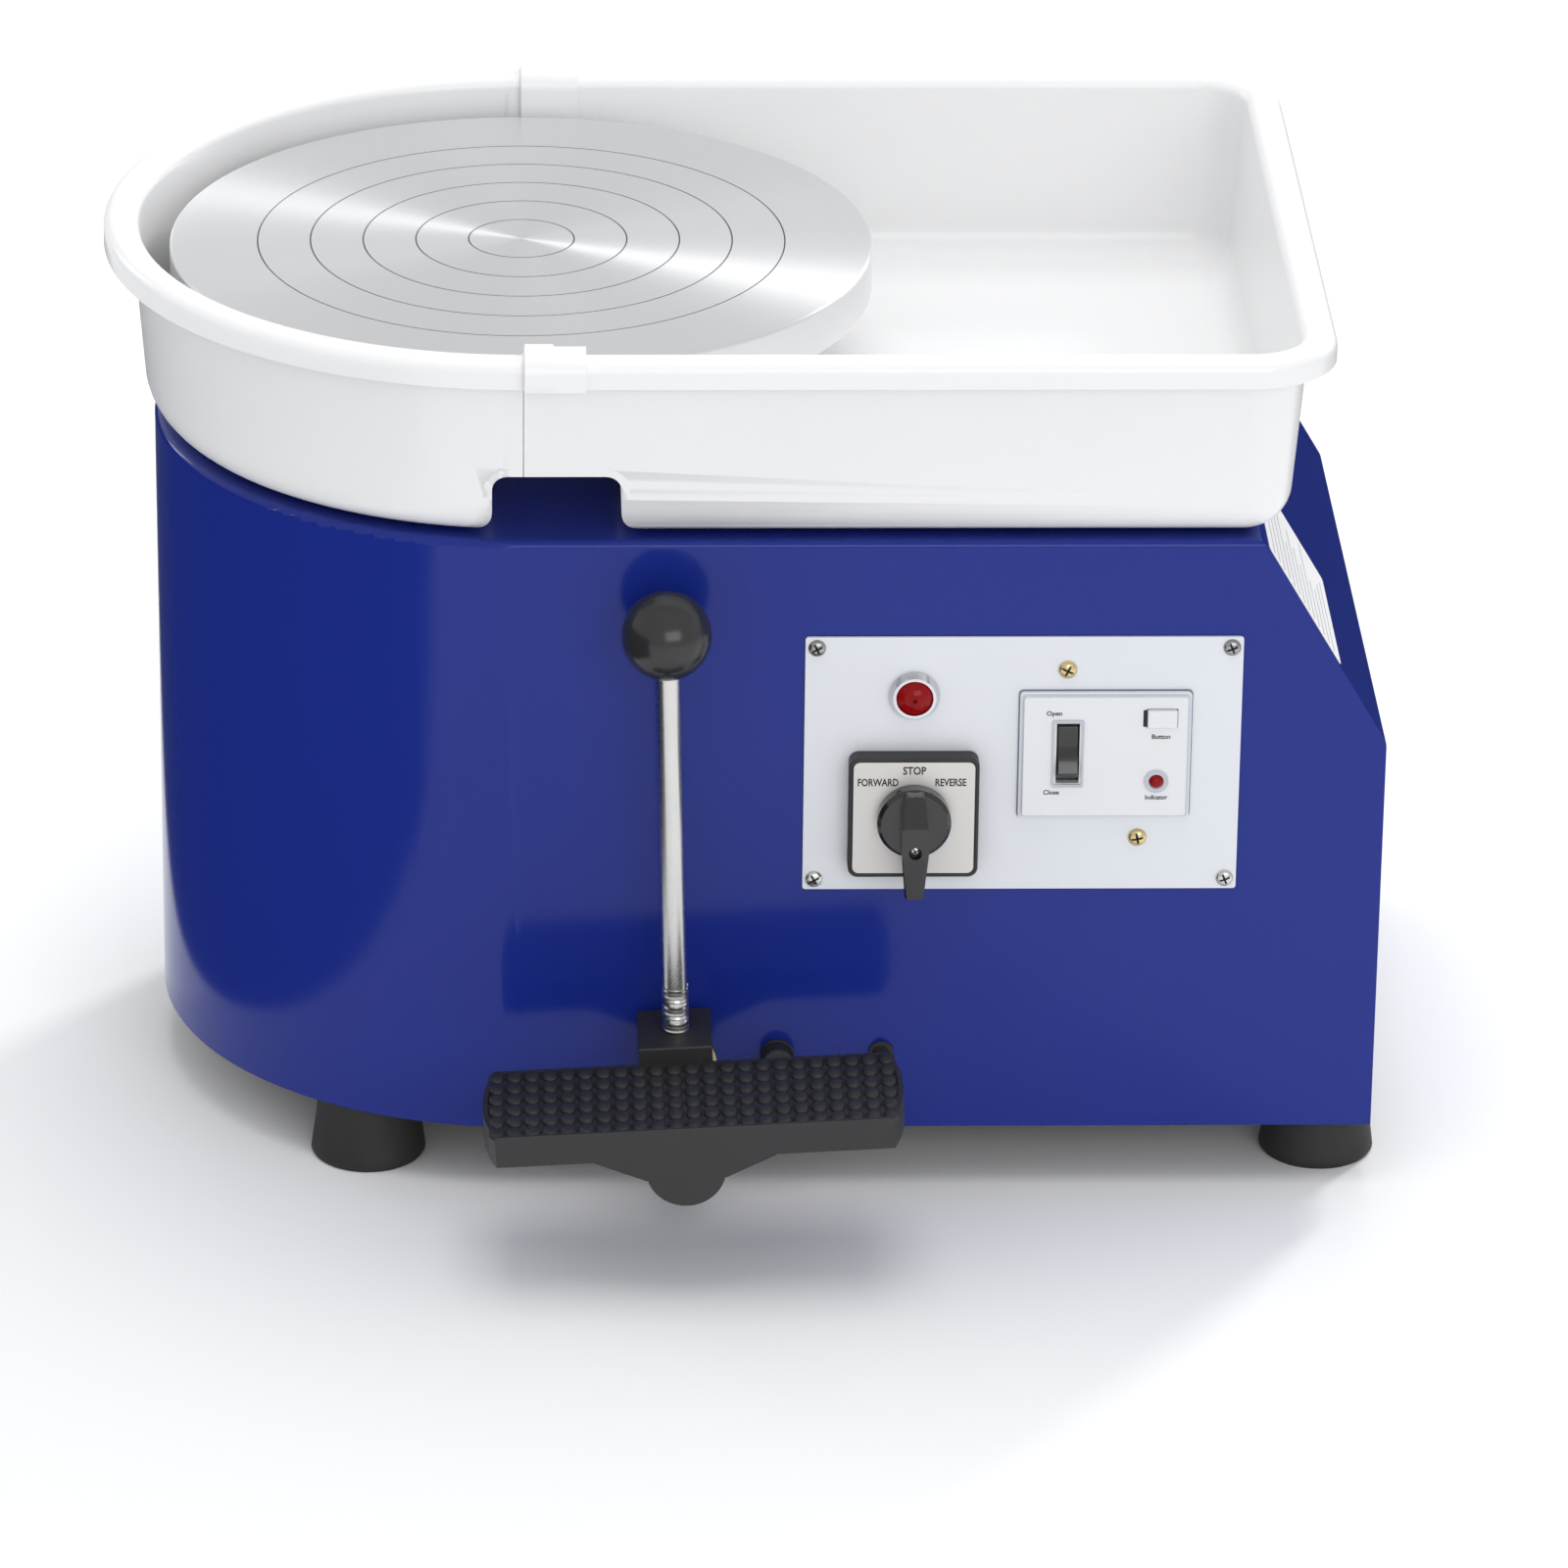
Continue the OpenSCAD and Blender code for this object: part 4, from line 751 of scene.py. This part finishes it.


# %% [markdown]
# ## Cross-head screws
# A pan-head screw is a low dome with a cross cut into it. The tree flattens a ball, takes two
# crossed bars out of it and puts a copy at every point, each turned by its own random amount,
# because nobody stops turning a screw at the same angle. A second tree, with the same points
# and seed, lays a dark floor in each cross: painted shade for the shadow in the recess.

# %% Cross-head screws


def crossed_bars(tree, given, shrink, tall, lift):
    """Two crossed bars, as shares of a screw's Radius and Height inputs."""
    arm_width, arm_length = 0.24, 1.25
    bars = []
    for shares in ((arm_width, arm_length, tall), (arm_length, arm_width, tall)):
        bar = place_node(tree, "GeometryNodeMeshCube", Size=(shrink, shrink, 1.0))
        sides = [times(tree, given.outputs[side], share)
                 for side, share in zip(("Radius", "Radius", "Height"), shares)]
        up = combine(tree, 0.0, 0.0, times(tree, given.outputs["Height"], lift))
        placed = place_node(tree, "GeometryNodeTransform", Geometry=bar.outputs["Mesh"], Translation=up,
                            Scale=combine(tree, *sides))
        bars.append(placed.outputs["Geometry"])
    return bars


# %% [markdown]
# One function builds both kinds of tree: the dome with its cross cut out, or, with `slots`, the
# dark floors alone, painted shade. The random turn has the same seed in both, so they stay in line.

# %% Screw trees


def screw_tree(name, material, slots=False):
    tree, given, out = new_tree(name, Radius=0.0035, Height=0.002, Seed=1)
    if slots:
        joined = place_node(tree, "GeometryNodeJoinGeometry")
        for bar in crossed_bars(tree, given, shrink=0.97, tall=0.35, lift=0.32):
            tree.links.new(bar, joined.inputs["Geometry"])
        shape = joined.outputs["Geometry"]
    else:
        ball = place_node(tree, "GeometryNodeMeshUVSphere", Segments=28, Rings=14, Radius=1.0)
        size = combine(tree, given.outputs["Radius"], given.outputs["Radius"], given.outputs["Height"])
        dome = place_node(tree, "GeometryNodeTransform", Geometry=ball.outputs["Mesh"], Scale=size)
        cut = place_node(tree, "GeometryNodeMeshBoolean", operation="DIFFERENCE")
        tree.links.new(dome.outputs["Geometry"], cut.inputs["Mesh 1"])
        for bar in crossed_bars(tree, given, shrink=1.0, tall=1.1, lift=1.0):
            tree.links.new(bar, cut.inputs["Mesh 2"])
        shape = cut.outputs["Mesh"]
    quarter_turn = 1.57
    twist = place_node(tree, "FunctionNodeRandomValue", data_type="FLOAT", Max=quarter_turn,
                       Seed=given.outputs["Seed"])
    copies = place_node(tree, "GeometryNodeInstanceOnPoints", Points=given.outputs["Geometry"],
                        Instance=shape, Rotation=combine(tree, 0.0, 0.0, twist.outputs[1]))
    end_tree(tree, copies.outputs["Instances"], material, out)
    return tree


# The slot tree lays painted shade in the screws' crosses.
slot_tree = screw_tree("screw_slots", slit_shade, slots=True)
silver_screws = screw_tree("silver_screws", bright_steel)
dull_screws = screw_tree("dull_screws", screw_steel)
brass_screws = screw_tree("brass_screws", yellow_screw)
print("screw trees", len(bpy.data.node_groups))

# %% [markdown]
# ## Setting the screws
# The panel is held at its corners, by two dull screws above and two bright ones below. Two brass
# ones hold the breaker, and three bright ones hold the base plate at the back.

# %% Setting the screws


def set_screws(name, tree, points, where, size, body, slot_name, *replaced, seed=1):
    """Screws of a (radius, height) in millimetres, with their dark slots, riding on a body."""
    radius, height = size
    sizes = {"Radius": radius * MM, "Height": height * MM, "Seed": seed}
    seat(grow(name, tree, points, where, **sizes), body, slot_name, *replaced)
    seat(grow(name + "_slots", slot_tree, points, where, **sizes), body, "black_plastic")


panel_low, panel_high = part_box("control_panel")
inset = 4.5 * MM
steel_head, brass_head = (3.5, 1.9), (3.75, 2.2)
on_panel_face = facing_front(Vector((0, panel_low.y, 0)))
for tree, name, z in ((dull_screws, "panel_screws_upper", panel_high.z - inset),
                      (silver_screws, "panel_screws_lower", panel_low.z + inset)):
    ends = [(x, z, 0) for x in (panel_low.x + inset, panel_high.x - inset)]
    set_screws(name, tree, ends, on_panel_face, steel_head, "housing", "zinc_steel",
               "control_panel_screws")

low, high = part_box("breaker_screws")
brass_r = brass_head[0] * MM
pair = [(low.x + brass_r, high.z - brass_r, 0), (high.x - brass_r, low.z + brass_r, 0)]
set_screws("breaker_face_screws", brass_screws, pair, on_panel_face, brass_head, "housing",
           "yellow_brass", "breaker_screws", seed=4)

low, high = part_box("base_screws")
steel_r = steel_head[0] * MM
base_screw_x = [low.x + steel_r, from_axis(185, 0, 0).x, high.x - steel_r]
back_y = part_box("housing_shell")[1].y
facing_back = Matrix.Rotation(math.pi, 4, "Z") @ Matrix.Rotation(math.pi / 2, 4, "X")
at_back = Matrix.Translation((0, back_y, (low.z + high.z) / 2)) @ facing_back
set_screws("base_screws_back", silver_screws, [(-x, 0, 0) for x in base_screw_x], at_back, steel_head,
           "housing", "zinc_steel", "base_screws")

# %% [markdown]
# ## Pedal studs
# The tread is moulded with six rows of small raised studs, rounder than a brick and longer from
# front to back. A grid of points carries one softened block, which is a cube with two rounds of
# subdivision: only a few dozen faces, because it is repeated over a hundred times. The studs are
# drawn flat in the pedal's own frame and then tilted with it.

# %% Pedal studs
pedal_tilt = math.radians(3)
pedal_shaft = joint_at["pedal_rock"]
pedal_turn = Matrix.Translation(pedal_shaft) @ Matrix.Rotation(-pedal_tilt, 4, "Y")
front_from_axis, plate_from_axis, rod_from_axis = 147, 214.75, 168.65
tread, given, out = new_tree("tread", Length=0.153, Depth=0.048, Columns=23, Rows=6, Width=0.0062,
                             Long=0.0090, High=0.0036)
grid = place_node(tread, "GeometryNodeMeshGrid", Size_X=given.outputs["Length"],
                  Size_Y=given.outputs["Depth"], Vertices_X=given.outputs["Columns"],
                  Vertices_Y=given.outputs["Rows"])
block = place_node(tread, "GeometryNodeMeshCube", Size=(1.25, 1.25, 1.25))
soft = place_node(tread, "GeometryNodeSubdivisionSurface", Mesh=block.outputs["Mesh"], Level=2)
stud_size = combine(tread, given.outputs["Width"], given.outputs["Long"], given.outputs["High"])
stud = place_node(tread, "GeometryNodeTransform", Geometry=soft.outputs["Mesh"], Scale=stud_size)
studs = place_node(tread, "GeometryNodeInstanceOnPoints", Points=grid.outputs["Mesh"],
                   Instance=stud.outputs["Geometry"])
end_tree(tread, studs.outputs["Instances"], plastic_black, out)
plate_centre = Vector((4, front_from_axis - plate_from_axis, 17)) * MM
on_plate = pedal_turn @ Matrix.Translation(plate_centre)
seat(grow("pedal_studs", tread, [], on_plate, smooth=60), "pedal", "black_plastic")

# %% [markdown]
# ## Lever thread
# The lower end of the rod is threaded into its block. A thread is a helix, so a spiral curve
# carries a small square section set on its corner. It is only as long as the part that shows.

# %% Lever thread
lever_lean = math.radians(1.4)
lever_base = Vector((-2, front_from_axis - rod_from_axis, 0)) * MM
lever_turn = pedal_turn @ Matrix.Translation(lever_base) @ Matrix.Rotation(lever_lean, 4, "Y")
thread_foot = Matrix.Translation((0, 0, 24.5 * MM))
thread, given, out = new_tree("thread", Turns=13.0, Radius=0.0047, Height=0.019, Wire=0.00072)
helix = place_node(thread, "GeometryNodeCurveSpiral", Resolution=40, Rotations=given.outputs["Turns"],
                   Start_Radius=given.outputs["Radius"], End_Radius=given.outputs["Radius"],
                   Height=given.outputs["Height"])
wire = place_node(thread, "GeometryNodeCurvePrimitiveCircle", Resolution=4, Radius=given.outputs["Wire"])
ridge = place_node(thread, "GeometryNodeCurveToMesh", Curve=helix.outputs["Curve"],
                   Profile_Curve=wire.outputs["Curve"], Fill_Caps=True)
end_tree(thread, ridge.outputs["Mesh"], bright_steel, out)
seat(grow("lever_thread", thread, [], lever_turn @ thread_foot, smooth=50), "pedal", "zinc_steel")

# %% [markdown]
# ## Printed words
# The switch's plate and the breaker's face carry a few printed words. Each word starts as a text
# curve, slightly emboldened, becomes a mesh with almost no thickness, and only then is put in
# its place, so that the piece stays at the origin. The words say what the controls do and
# nothing else.

# %% Printed words


print_thickness, print_lift, boldness = 0.02 * MM, 0.05 * MM, 0.022


def print_word(words, size, at, narrow):
    curve = bpy.data.curves.new("word_" + words, "FONT")
    curve.body = words
    curve.size = size
    curve.align_x = "CENTER"
    curve.align_y = "CENTER"
    curve.extrude = print_thickness
    curve.offset = boldness * size
    curve.resolution_u = 3
    word = link("printed_" + words.lower(), curve)
    bpy.context.view_layer.update()
    flat = bpy.data.meshes.new_from_object(word.evaluated_get(bpy.context.evaluated_depsgraph_get()))
    bpy.data.objects.remove(word)
    flat.transform(facing_front(at) @ Matrix.Diagonal((narrow, 1, 1, 1)))
    word = link("printed_" + words.lower(), flat)
    paint(word, print_black)
    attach(word, "housing")
    print(word.name, len(flat.polygons), "faces")


def printed_face(node):
    """The middle of a node's front face, lifted a hair for the print."""
    return Vector((middle(node).x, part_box(node)[0].y - print_lift, middle(node).z))


for node, words, x, z, size, narrow in (
        ("switch_face", "STOP", 0, 20.2, 4.6, 0.82),
        ("switch_face", "FORWARD", -14.2, 15.2, 4.4, 0.74),
        ("switch_face", "REVERSE", 14.2, 15.2, 4.4, 0.74),
        ("breaker_frame", "Open", -20.2, 18.6, 2.7, 1.0),
        ("breaker_frame", "Close", -20.8, -15.2, 2.7, 1.0),
        ("breaker_frame", "Button", 21.7, 8.6, 2.7, 1.0),
        ("breaker_frame", "Indicator", 20.4, -17.4, 2.7, 0.9)):
    print_word(words, size * MM, printed_face(node) + Vector((x, 0, z)) * MM, narrow)

# %% [markdown]
# ## Flat rings and plates
# Trim a few tenths of a millimetre high is a band between an outer and an inner outline. Both
# outlines have the same number of points, so the band is bridged point by point.

# %% Flat rings and plates


def rounded_box(width, height, radius, steps=5):
    """Outline of a rounded rectangle around the origin, anticlockwise."""
    outline = []
    for cx, cy, start in ((1, 1, 0), (-1, 1, 90), (-1, -1, 180), (1, -1, 270)):
        for i in range(steps + 1):
            a = math.radians(start + 90 * i / steps)
            outline.append((cx * (width / 2 - radius) + radius * math.cos(a),
                            cy * (height / 2 - radius) + radius * math.sin(a)))
    return outline


def band(name, outer, inner, thick, where):
    """A flat ring between two outlines of equal length, or a plate where inner is None."""
    bm = bmesh.new()
    levels = [[bm.verts.new((x, y, z)) for x, y in outer] for z in (0, thick)]
    count = len(outer)
    sides = [levels]
    if inner:
        sides.append([[bm.verts.new((x, y, z)) for x, y in inner] for z in (0, thick)])
    for lower, upper in sides:
        for i in range(count):
            bm.faces.new((lower[i], lower[(i + 1) % count], upper[(i + 1) % count], upper[i]))
    for level in (0, 1):
        if inner:
            outside, inside = sides[0][level], sides[1][level]
            for i in range(count):
                j = (i + 1) % count
                bm.faces.new((outside[i], outside[j], inside[j], inside[i]))
        else:
            bm.faces.new(levels[level])
    bmesh.ops.recalc_face_normals(bm, faces=bm.faces)
    mesh = bpy.data.meshes.new(name)
    bm.to_mesh(mesh)
    bm.free()
    mesh.transform(where)
    smooth_by_angle(mesh, 35)
    return link(name, mesh)


def circle(radius, count=40):
    return [(radius * math.cos(2 * math.pi * i / count), radius * math.sin(2 * math.pi * i / count))
            for i in range(count)]


# %% [markdown]
# ## Small trim on the breaker
# A dark band around the breaker is painted shade for the gap at its edge, and its stepped ledge
# is painted greyer than its face, as the shade on that step.
# Around the rocker runs a thin raised frame, beside the test button a flat dark plate is painted
# shade for its slot, and the indicator sits in a grey ring.

# %% Small trim on the breaker


def trim(name, outer, inner, thick, at, y, material):
    """A ring or plate in front of a point, with its back at a chosen depth."""
    piece = band(name, outer, inner, thick, facing_front(Vector((at.x, y, at.z))))
    paint(piece, material)
    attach(piece, "housing")
    print(name, len(piece.data.polygons), "faces")


def around_breaker(margin, radius):
    """The breaker's outline, wider or narrower by a margin in millimetres."""
    return rounded_box(breaker_size.x + margin * MM, breaker_size.z + margin * MM, radius * MM)


breaker_size = box_size("breaker_frame")
breaker_middle = middle("breaker_frame")
breaker_face_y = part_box("breaker_frame")[0].y
# Painted shade: a dark band stands for the shadow gap around the breaker.
trim("breaker_shadow_gap", around_breaker(1.0, 1.8), around_breaker(-1.0, 1.0), 0.5 * MM, breaker_middle,
     panel_low.y, shadow_gap_grey)
# Painted shade: a thin grey film on the step stands for the shade on the breaker's ledge.
trim("breaker_ledge", around_breaker(-0.9, 1.1), around_breaker(-3.2, 0.9), 0.06 * MM, breaker_middle,
     breaker_face_y + 1.6 * MM, ledge_shade_grey)
trim("rocker_frame", rounded_box(12.4 * MM, 28.6 * MM, 0.8 * MM),
     rounded_box(10.6 * MM, 26.2 * MM, 0.3 * MM), 0.7 * MM, middle("breaker_rocker"),
     breaker_face_y, rim_grey)
# Painted shade: the slit is a flat dark plate where the gap beside the button lies in shadow.
slit_gap = 0.9 * MM
slit_at = Vector((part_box("breaker_test_button")[0].x - slit_gap, 0, middle("breaker_test_button").z))
trim("button_slit", rounded_box(1.5 * MM, 7.2 * MM, 0.3 * MM), None, 0.05 * MM, slit_at,
     breaker_face_y, slit_shade)
trim("indicator_ring", circle(4.8 * MM), circle(3.0 * MM), 0.6 * MM, middle("breaker_indicator"),
     breaker_face_y, rim_grey)

# %% [markdown]
# ## Sticker on the sloping end
# A paper label covers part of the slope. It is a thin rounded sheet, and grey rules of uneven
# length stand for its lines: a tree lays one bar at each step of a straight row and shortens
# each bar by its own random share. The sheet and the rules are drawn flat, then laid on the slope.

# %% Sticker on the sloping end
slope_run, slope_drop, slope_top_x, slope_top_z = 51, 86, 287, 280
slope_length = math.hypot(slope_run, slope_drop)
down = Vector((slope_run, 0, -slope_drop)) / slope_length
outward = Vector((slope_drop, 0, slope_run)) / slope_length
sticker_top, sticker_foot, sticker_front, sticker_back = 5, 63, -144, -59
sticker_middle = (from_axis(slope_top_x, (sticker_front + sticker_back) / 2, slope_top_z)
                  + down * (sticker_top + sticker_foot) / 2 * MM)
on_slope = Matrix(((0, -down.x, outward.x, sticker_middle.x),
                   (1, 0, 0, sticker_middle.y),
                   (0, -down.z, outward.z, sticker_middle.z),
                   (0, 0, 0, 1)))
sticker_size = ((sticker_back - sticker_front) * MM, (sticker_foot - sticker_top) * MM)
sticker = band("slope_sticker", rounded_box(*sticker_size, 2 * MM), None, 0.12 * MM, on_slope)
paint(sticker, label_white)
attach(sticker, "housing")

rule_length, rule_pitch, rule_high = 0.076, 0.004, 0.0001
rules, given, out = new_tree("rules", Rows=13, Pitch=rule_pitch, Length=rule_length, Thick=0.0007,
                             Seed=7)
whole_height = times(rules, given.outputs["Rows"], given.outputs["Pitch"])
row_start = combine(rules, -rule_length / 2, times(rules, whole_height, -0.5), 0.0)
rows = place_node(rules, "GeometryNodeMeshLine", Count=given.outputs["Rows"], Start_Location=row_start,
                  Offset=combine(rules, 0.0, given.outputs["Pitch"], 0.0))
bar = place_node(rules, "GeometryNodeMeshCube",
                 Size=combine(rules, given.outputs["Length"], given.outputs["Thick"], rule_high))
from_left = place_node(rules, "GeometryNodeTransform", Geometry=bar.outputs["Mesh"],
                       Translation=(rule_length / 2, rule_pitch / 2, 0.0))
share = place_node(rules, "FunctionNodeRandomValue", data_type="FLOAT", Min=0.55, Max=1.0,
                   Seed=given.outputs["Seed"])
bars = place_node(rules, "GeometryNodeInstanceOnPoints", Points=rows.outputs["Mesh"],
                  Instance=from_left.outputs["Geometry"],
                  Scale=combine(rules, share.outputs[1], 1.0, 1.0))
end_tree(rules, bars.outputs["Instances"], print_grey, out)
above_sticker = Matrix.Translation((0, 0, 0.15 * MM))
seat(grow("sticker_rules", rules, [], on_slope @ above_sticker), "housing", "black_plastic")

# %% [markdown]
# ## Signal lamp lens
# The lens is a clear red dome whose face is moulded into small pyramids, which break the light
# of the bulb. A dome is spun on the lathe, and every second point of its grid is then pushed
# in by three tenths of a millimetre.

# %% Signal lamp lens
lens_low, lens_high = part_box("lamp_lens")
lens_r = (lens_high.z - lens_low.z) / 2
dome_rise = 3.78 * MM
rim_level = 2 * MM
prism_depth = 0.3 * MM
dome_r = (lens_r ** 2 + dome_rise ** 2) / (2 * dome_rise)
lens_section = [(0, 0), (lens_r, 0), (lens_r, rim_level)]
rings_of_lens, spokes_of_lens = 9, 36
for i in range(1, rings_of_lens):
    r = lens_r * (1 - i / rings_of_lens)
    lens_section.append((r, rim_level + dome_rise - dome_r + math.sqrt(dome_r ** 2 - r ** 2)))
lens_section.append((0, rim_level + dome_rise))
lens = lathe("lamp_lens_prisms", lens_section, (0, 0, 0), spokes_of_lens)
ring_gap = lens_r / rings_of_lens
for vert in lens.data.vertices:
    r = math.hypot(vert.co.x, vert.co.y)
    ring = round(r / ring_gap)
    spoke = round(math.atan2(vert.co.y, vert.co.x) / (2 * math.pi) * spokes_of_lens)
    if vert.co.z > rim_level + 0.1 * MM and ring > 0 and (ring + spoke) % 2:
        vert.co.z -= prism_depth
lens_seat = Vector((middle("lamp_lens").x, lens_high.y, middle("lamp_lens").z))
lens.data.transform(facing_front(lens_seat))
smooth_by_angle(lens.data, 12)
paint(lens, red_lens)
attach(lens, "housing")
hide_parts("lamp_lens")
print("lens", len(lens.data.polygons), "faces")

# %% [markdown]
# ## Small parts that turn with their knobs
# The direction knob is held by a small screw in a round pocket, and the fuse cap has ribs to
# grip. The screw uses the same tree as the others. The ribs are half-sunk round bars set around
# the cap by their own tree.

# %% Small parts that turn with their knobs
knob_face_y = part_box("switch_knob")[0].y
pocket_depth, pocket_drop, knob_screw_size = 3 * MM, 7 * MM, (2.3, 1.2)
pocket = middle("switch_face")
pocket = Vector((pocket.x, knob_face_y + pocket_depth, pocket.z - pocket_drop))
set_screws("knob_screw", silver_screws, [(0, 0, 0)], facing_front(pocket), knob_screw_size,
           body_holding("switch_knob"), "zinc_steel")

ribs, given, out = new_tree("ribs", Count=24, Radius=0.0062, Long=0.006, Wire=0.0004)
ring_of_ribs = place_node(ribs, "GeometryNodeMeshCircle", Vertices=given.outputs["Count"],
                          Radius=given.outputs["Radius"])
rib = place_node(ribs, "GeometryNodeMeshCylinder", Vertices=10, Radius=given.outputs["Wire"],
                 Depth=given.outputs["Long"])
rib_copies = place_node(ribs, "GeometryNodeInstanceOnPoints", Points=ring_of_ribs.outputs["Mesh"],
                        Instance=rib.outputs["Mesh"])
end_tree(ribs, rib_copies.outputs["Instances"], plastic_black, out)
grip_depth = 3.6 * MM
grip = Vector((middle("fuse_cap").x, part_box("fuse_cap")[0].y + grip_depth, middle("fuse_cap").z))
seat(grow("fuse_cap_ribs", ribs, [], facing_front(grip)), body_holding("fuse_cap"), "black_plastic")
